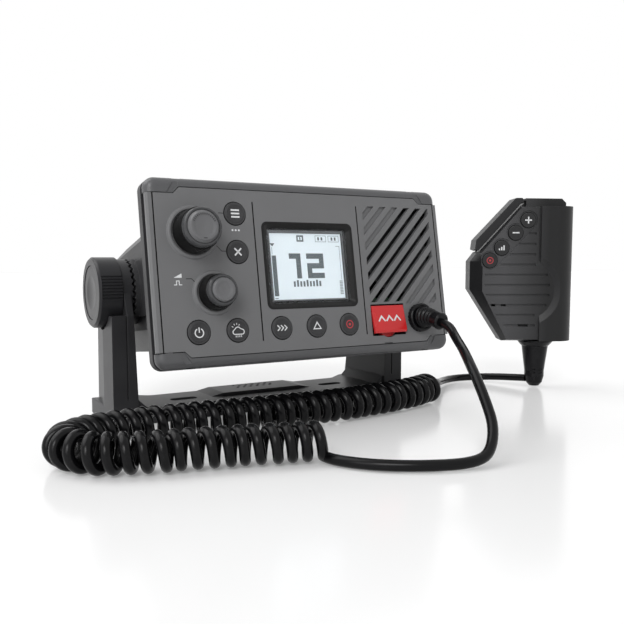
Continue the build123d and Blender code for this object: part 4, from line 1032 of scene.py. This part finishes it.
def addFloor():
    s = studioSet
    bpy.ops.mesh.primitive_plane_add(size=s["floor"], location=(0, 0, s["floorAt"]))
    floor = bpy.context.object
    floor.name = "studioFloor"
    material, tree, shader = newMaterial("studioFloor")
    shader.inputs["Base Color"].default_value = (s["floorColour"], s["floorColour"], s["floorColour"], 1)
    shader.inputs["Roughness"].default_value = s["floorGloss"]
    shader.inputs["Specular IOR Level"].default_value = s["floorSpecular"]
    rays = addNode(tree, "ShaderNodeLightPath")
    lift = addNode(tree, "ShaderNodeMath", operation="MULTIPLY")
    link(tree, either(tree, rays.outputs["Is Camera Ray"], rays.outputs["Is Glossy Ray"]), lift.inputs[0])
    lift.inputs[1].default_value = s["floorLift"]
    glow = addNode(tree, "ShaderNodeEmission")
    link(tree, lift.outputs["Value"], glow.inputs["Strength"])
    both = addNode(tree, "ShaderNodeAddShader")
    link(tree, shader.outputs["BSDF"], both.inputs[0])
    link(tree, glow.outputs["Emission"], both.inputs[1])
    link(tree, both.outputs["Shader"], tree.nodes["Material Output"].inputs["Surface"])
    floor.data.materials.append(material)


def addWorld():
    # pure white to the eye and in gloss and glass, and a weaker white as light
    world = bpy.data.worlds.new("studio")
    bpy.context.scene.world = world
    world.use_nodes = True
    tree = world.node_tree
    lit = tree.nodes["Background"]
    white = addNode(tree, "ShaderNodeBackground")
    for background, strength in ((lit, studioSet["ambient"]), (white, 1.0)):
        background.inputs["Color"].default_value = (1, 1, 1, 1)
        background.inputs["Strength"].default_value = strength
    rays = addNode(tree, "ShaderNodeLightPath")
    seen = either(tree, rays.outputs["Is Camera Ray"], rays.outputs["Is Glossy Ray"])
    mix = addNode(tree, "ShaderNodeMixShader")
    link(tree, either(tree, seen, rays.outputs["Is Transmission Ray"]), mix.inputs["Fac"])
    link(tree, lit.outputs["Background"], mix.inputs[1])
    link(tree, white.outputs["Background"], mix.inputs[2])
    link(tree, mix.outputs["Shader"], tree.nodes["World Output"].inputs["Surface"])


def addSun(name, towards, softness, strength):
    data = bpy.data.lights.new(name, "SUN")
    data.energy = strength
    data.angle = radians(softness)
    lamp = addObject(name, data)
    lamp.rotation_euler = Vector(towards).to_track_quat("-Z", "Y").to_euler()


def addLamp(name, at, size, power):
    data = bpy.data.lights.new(name, "AREA")
    data.size = size
    data.energy = power
    lamp = addObject(name, data)
    lamp.location = at
    lamp.rotation_euler = (-Vector(at)).to_track_quat("-Z", "Y").to_euler()


addFloor()
addWorld()
for name, facts in studioSet["suns"].items():
    addSun(name, **facts)
addLamp("sideLamp", **studioSet["sideLamp"])
bpy.context.scene.view_settings.view_transform = "Standard"
print("studio lit")
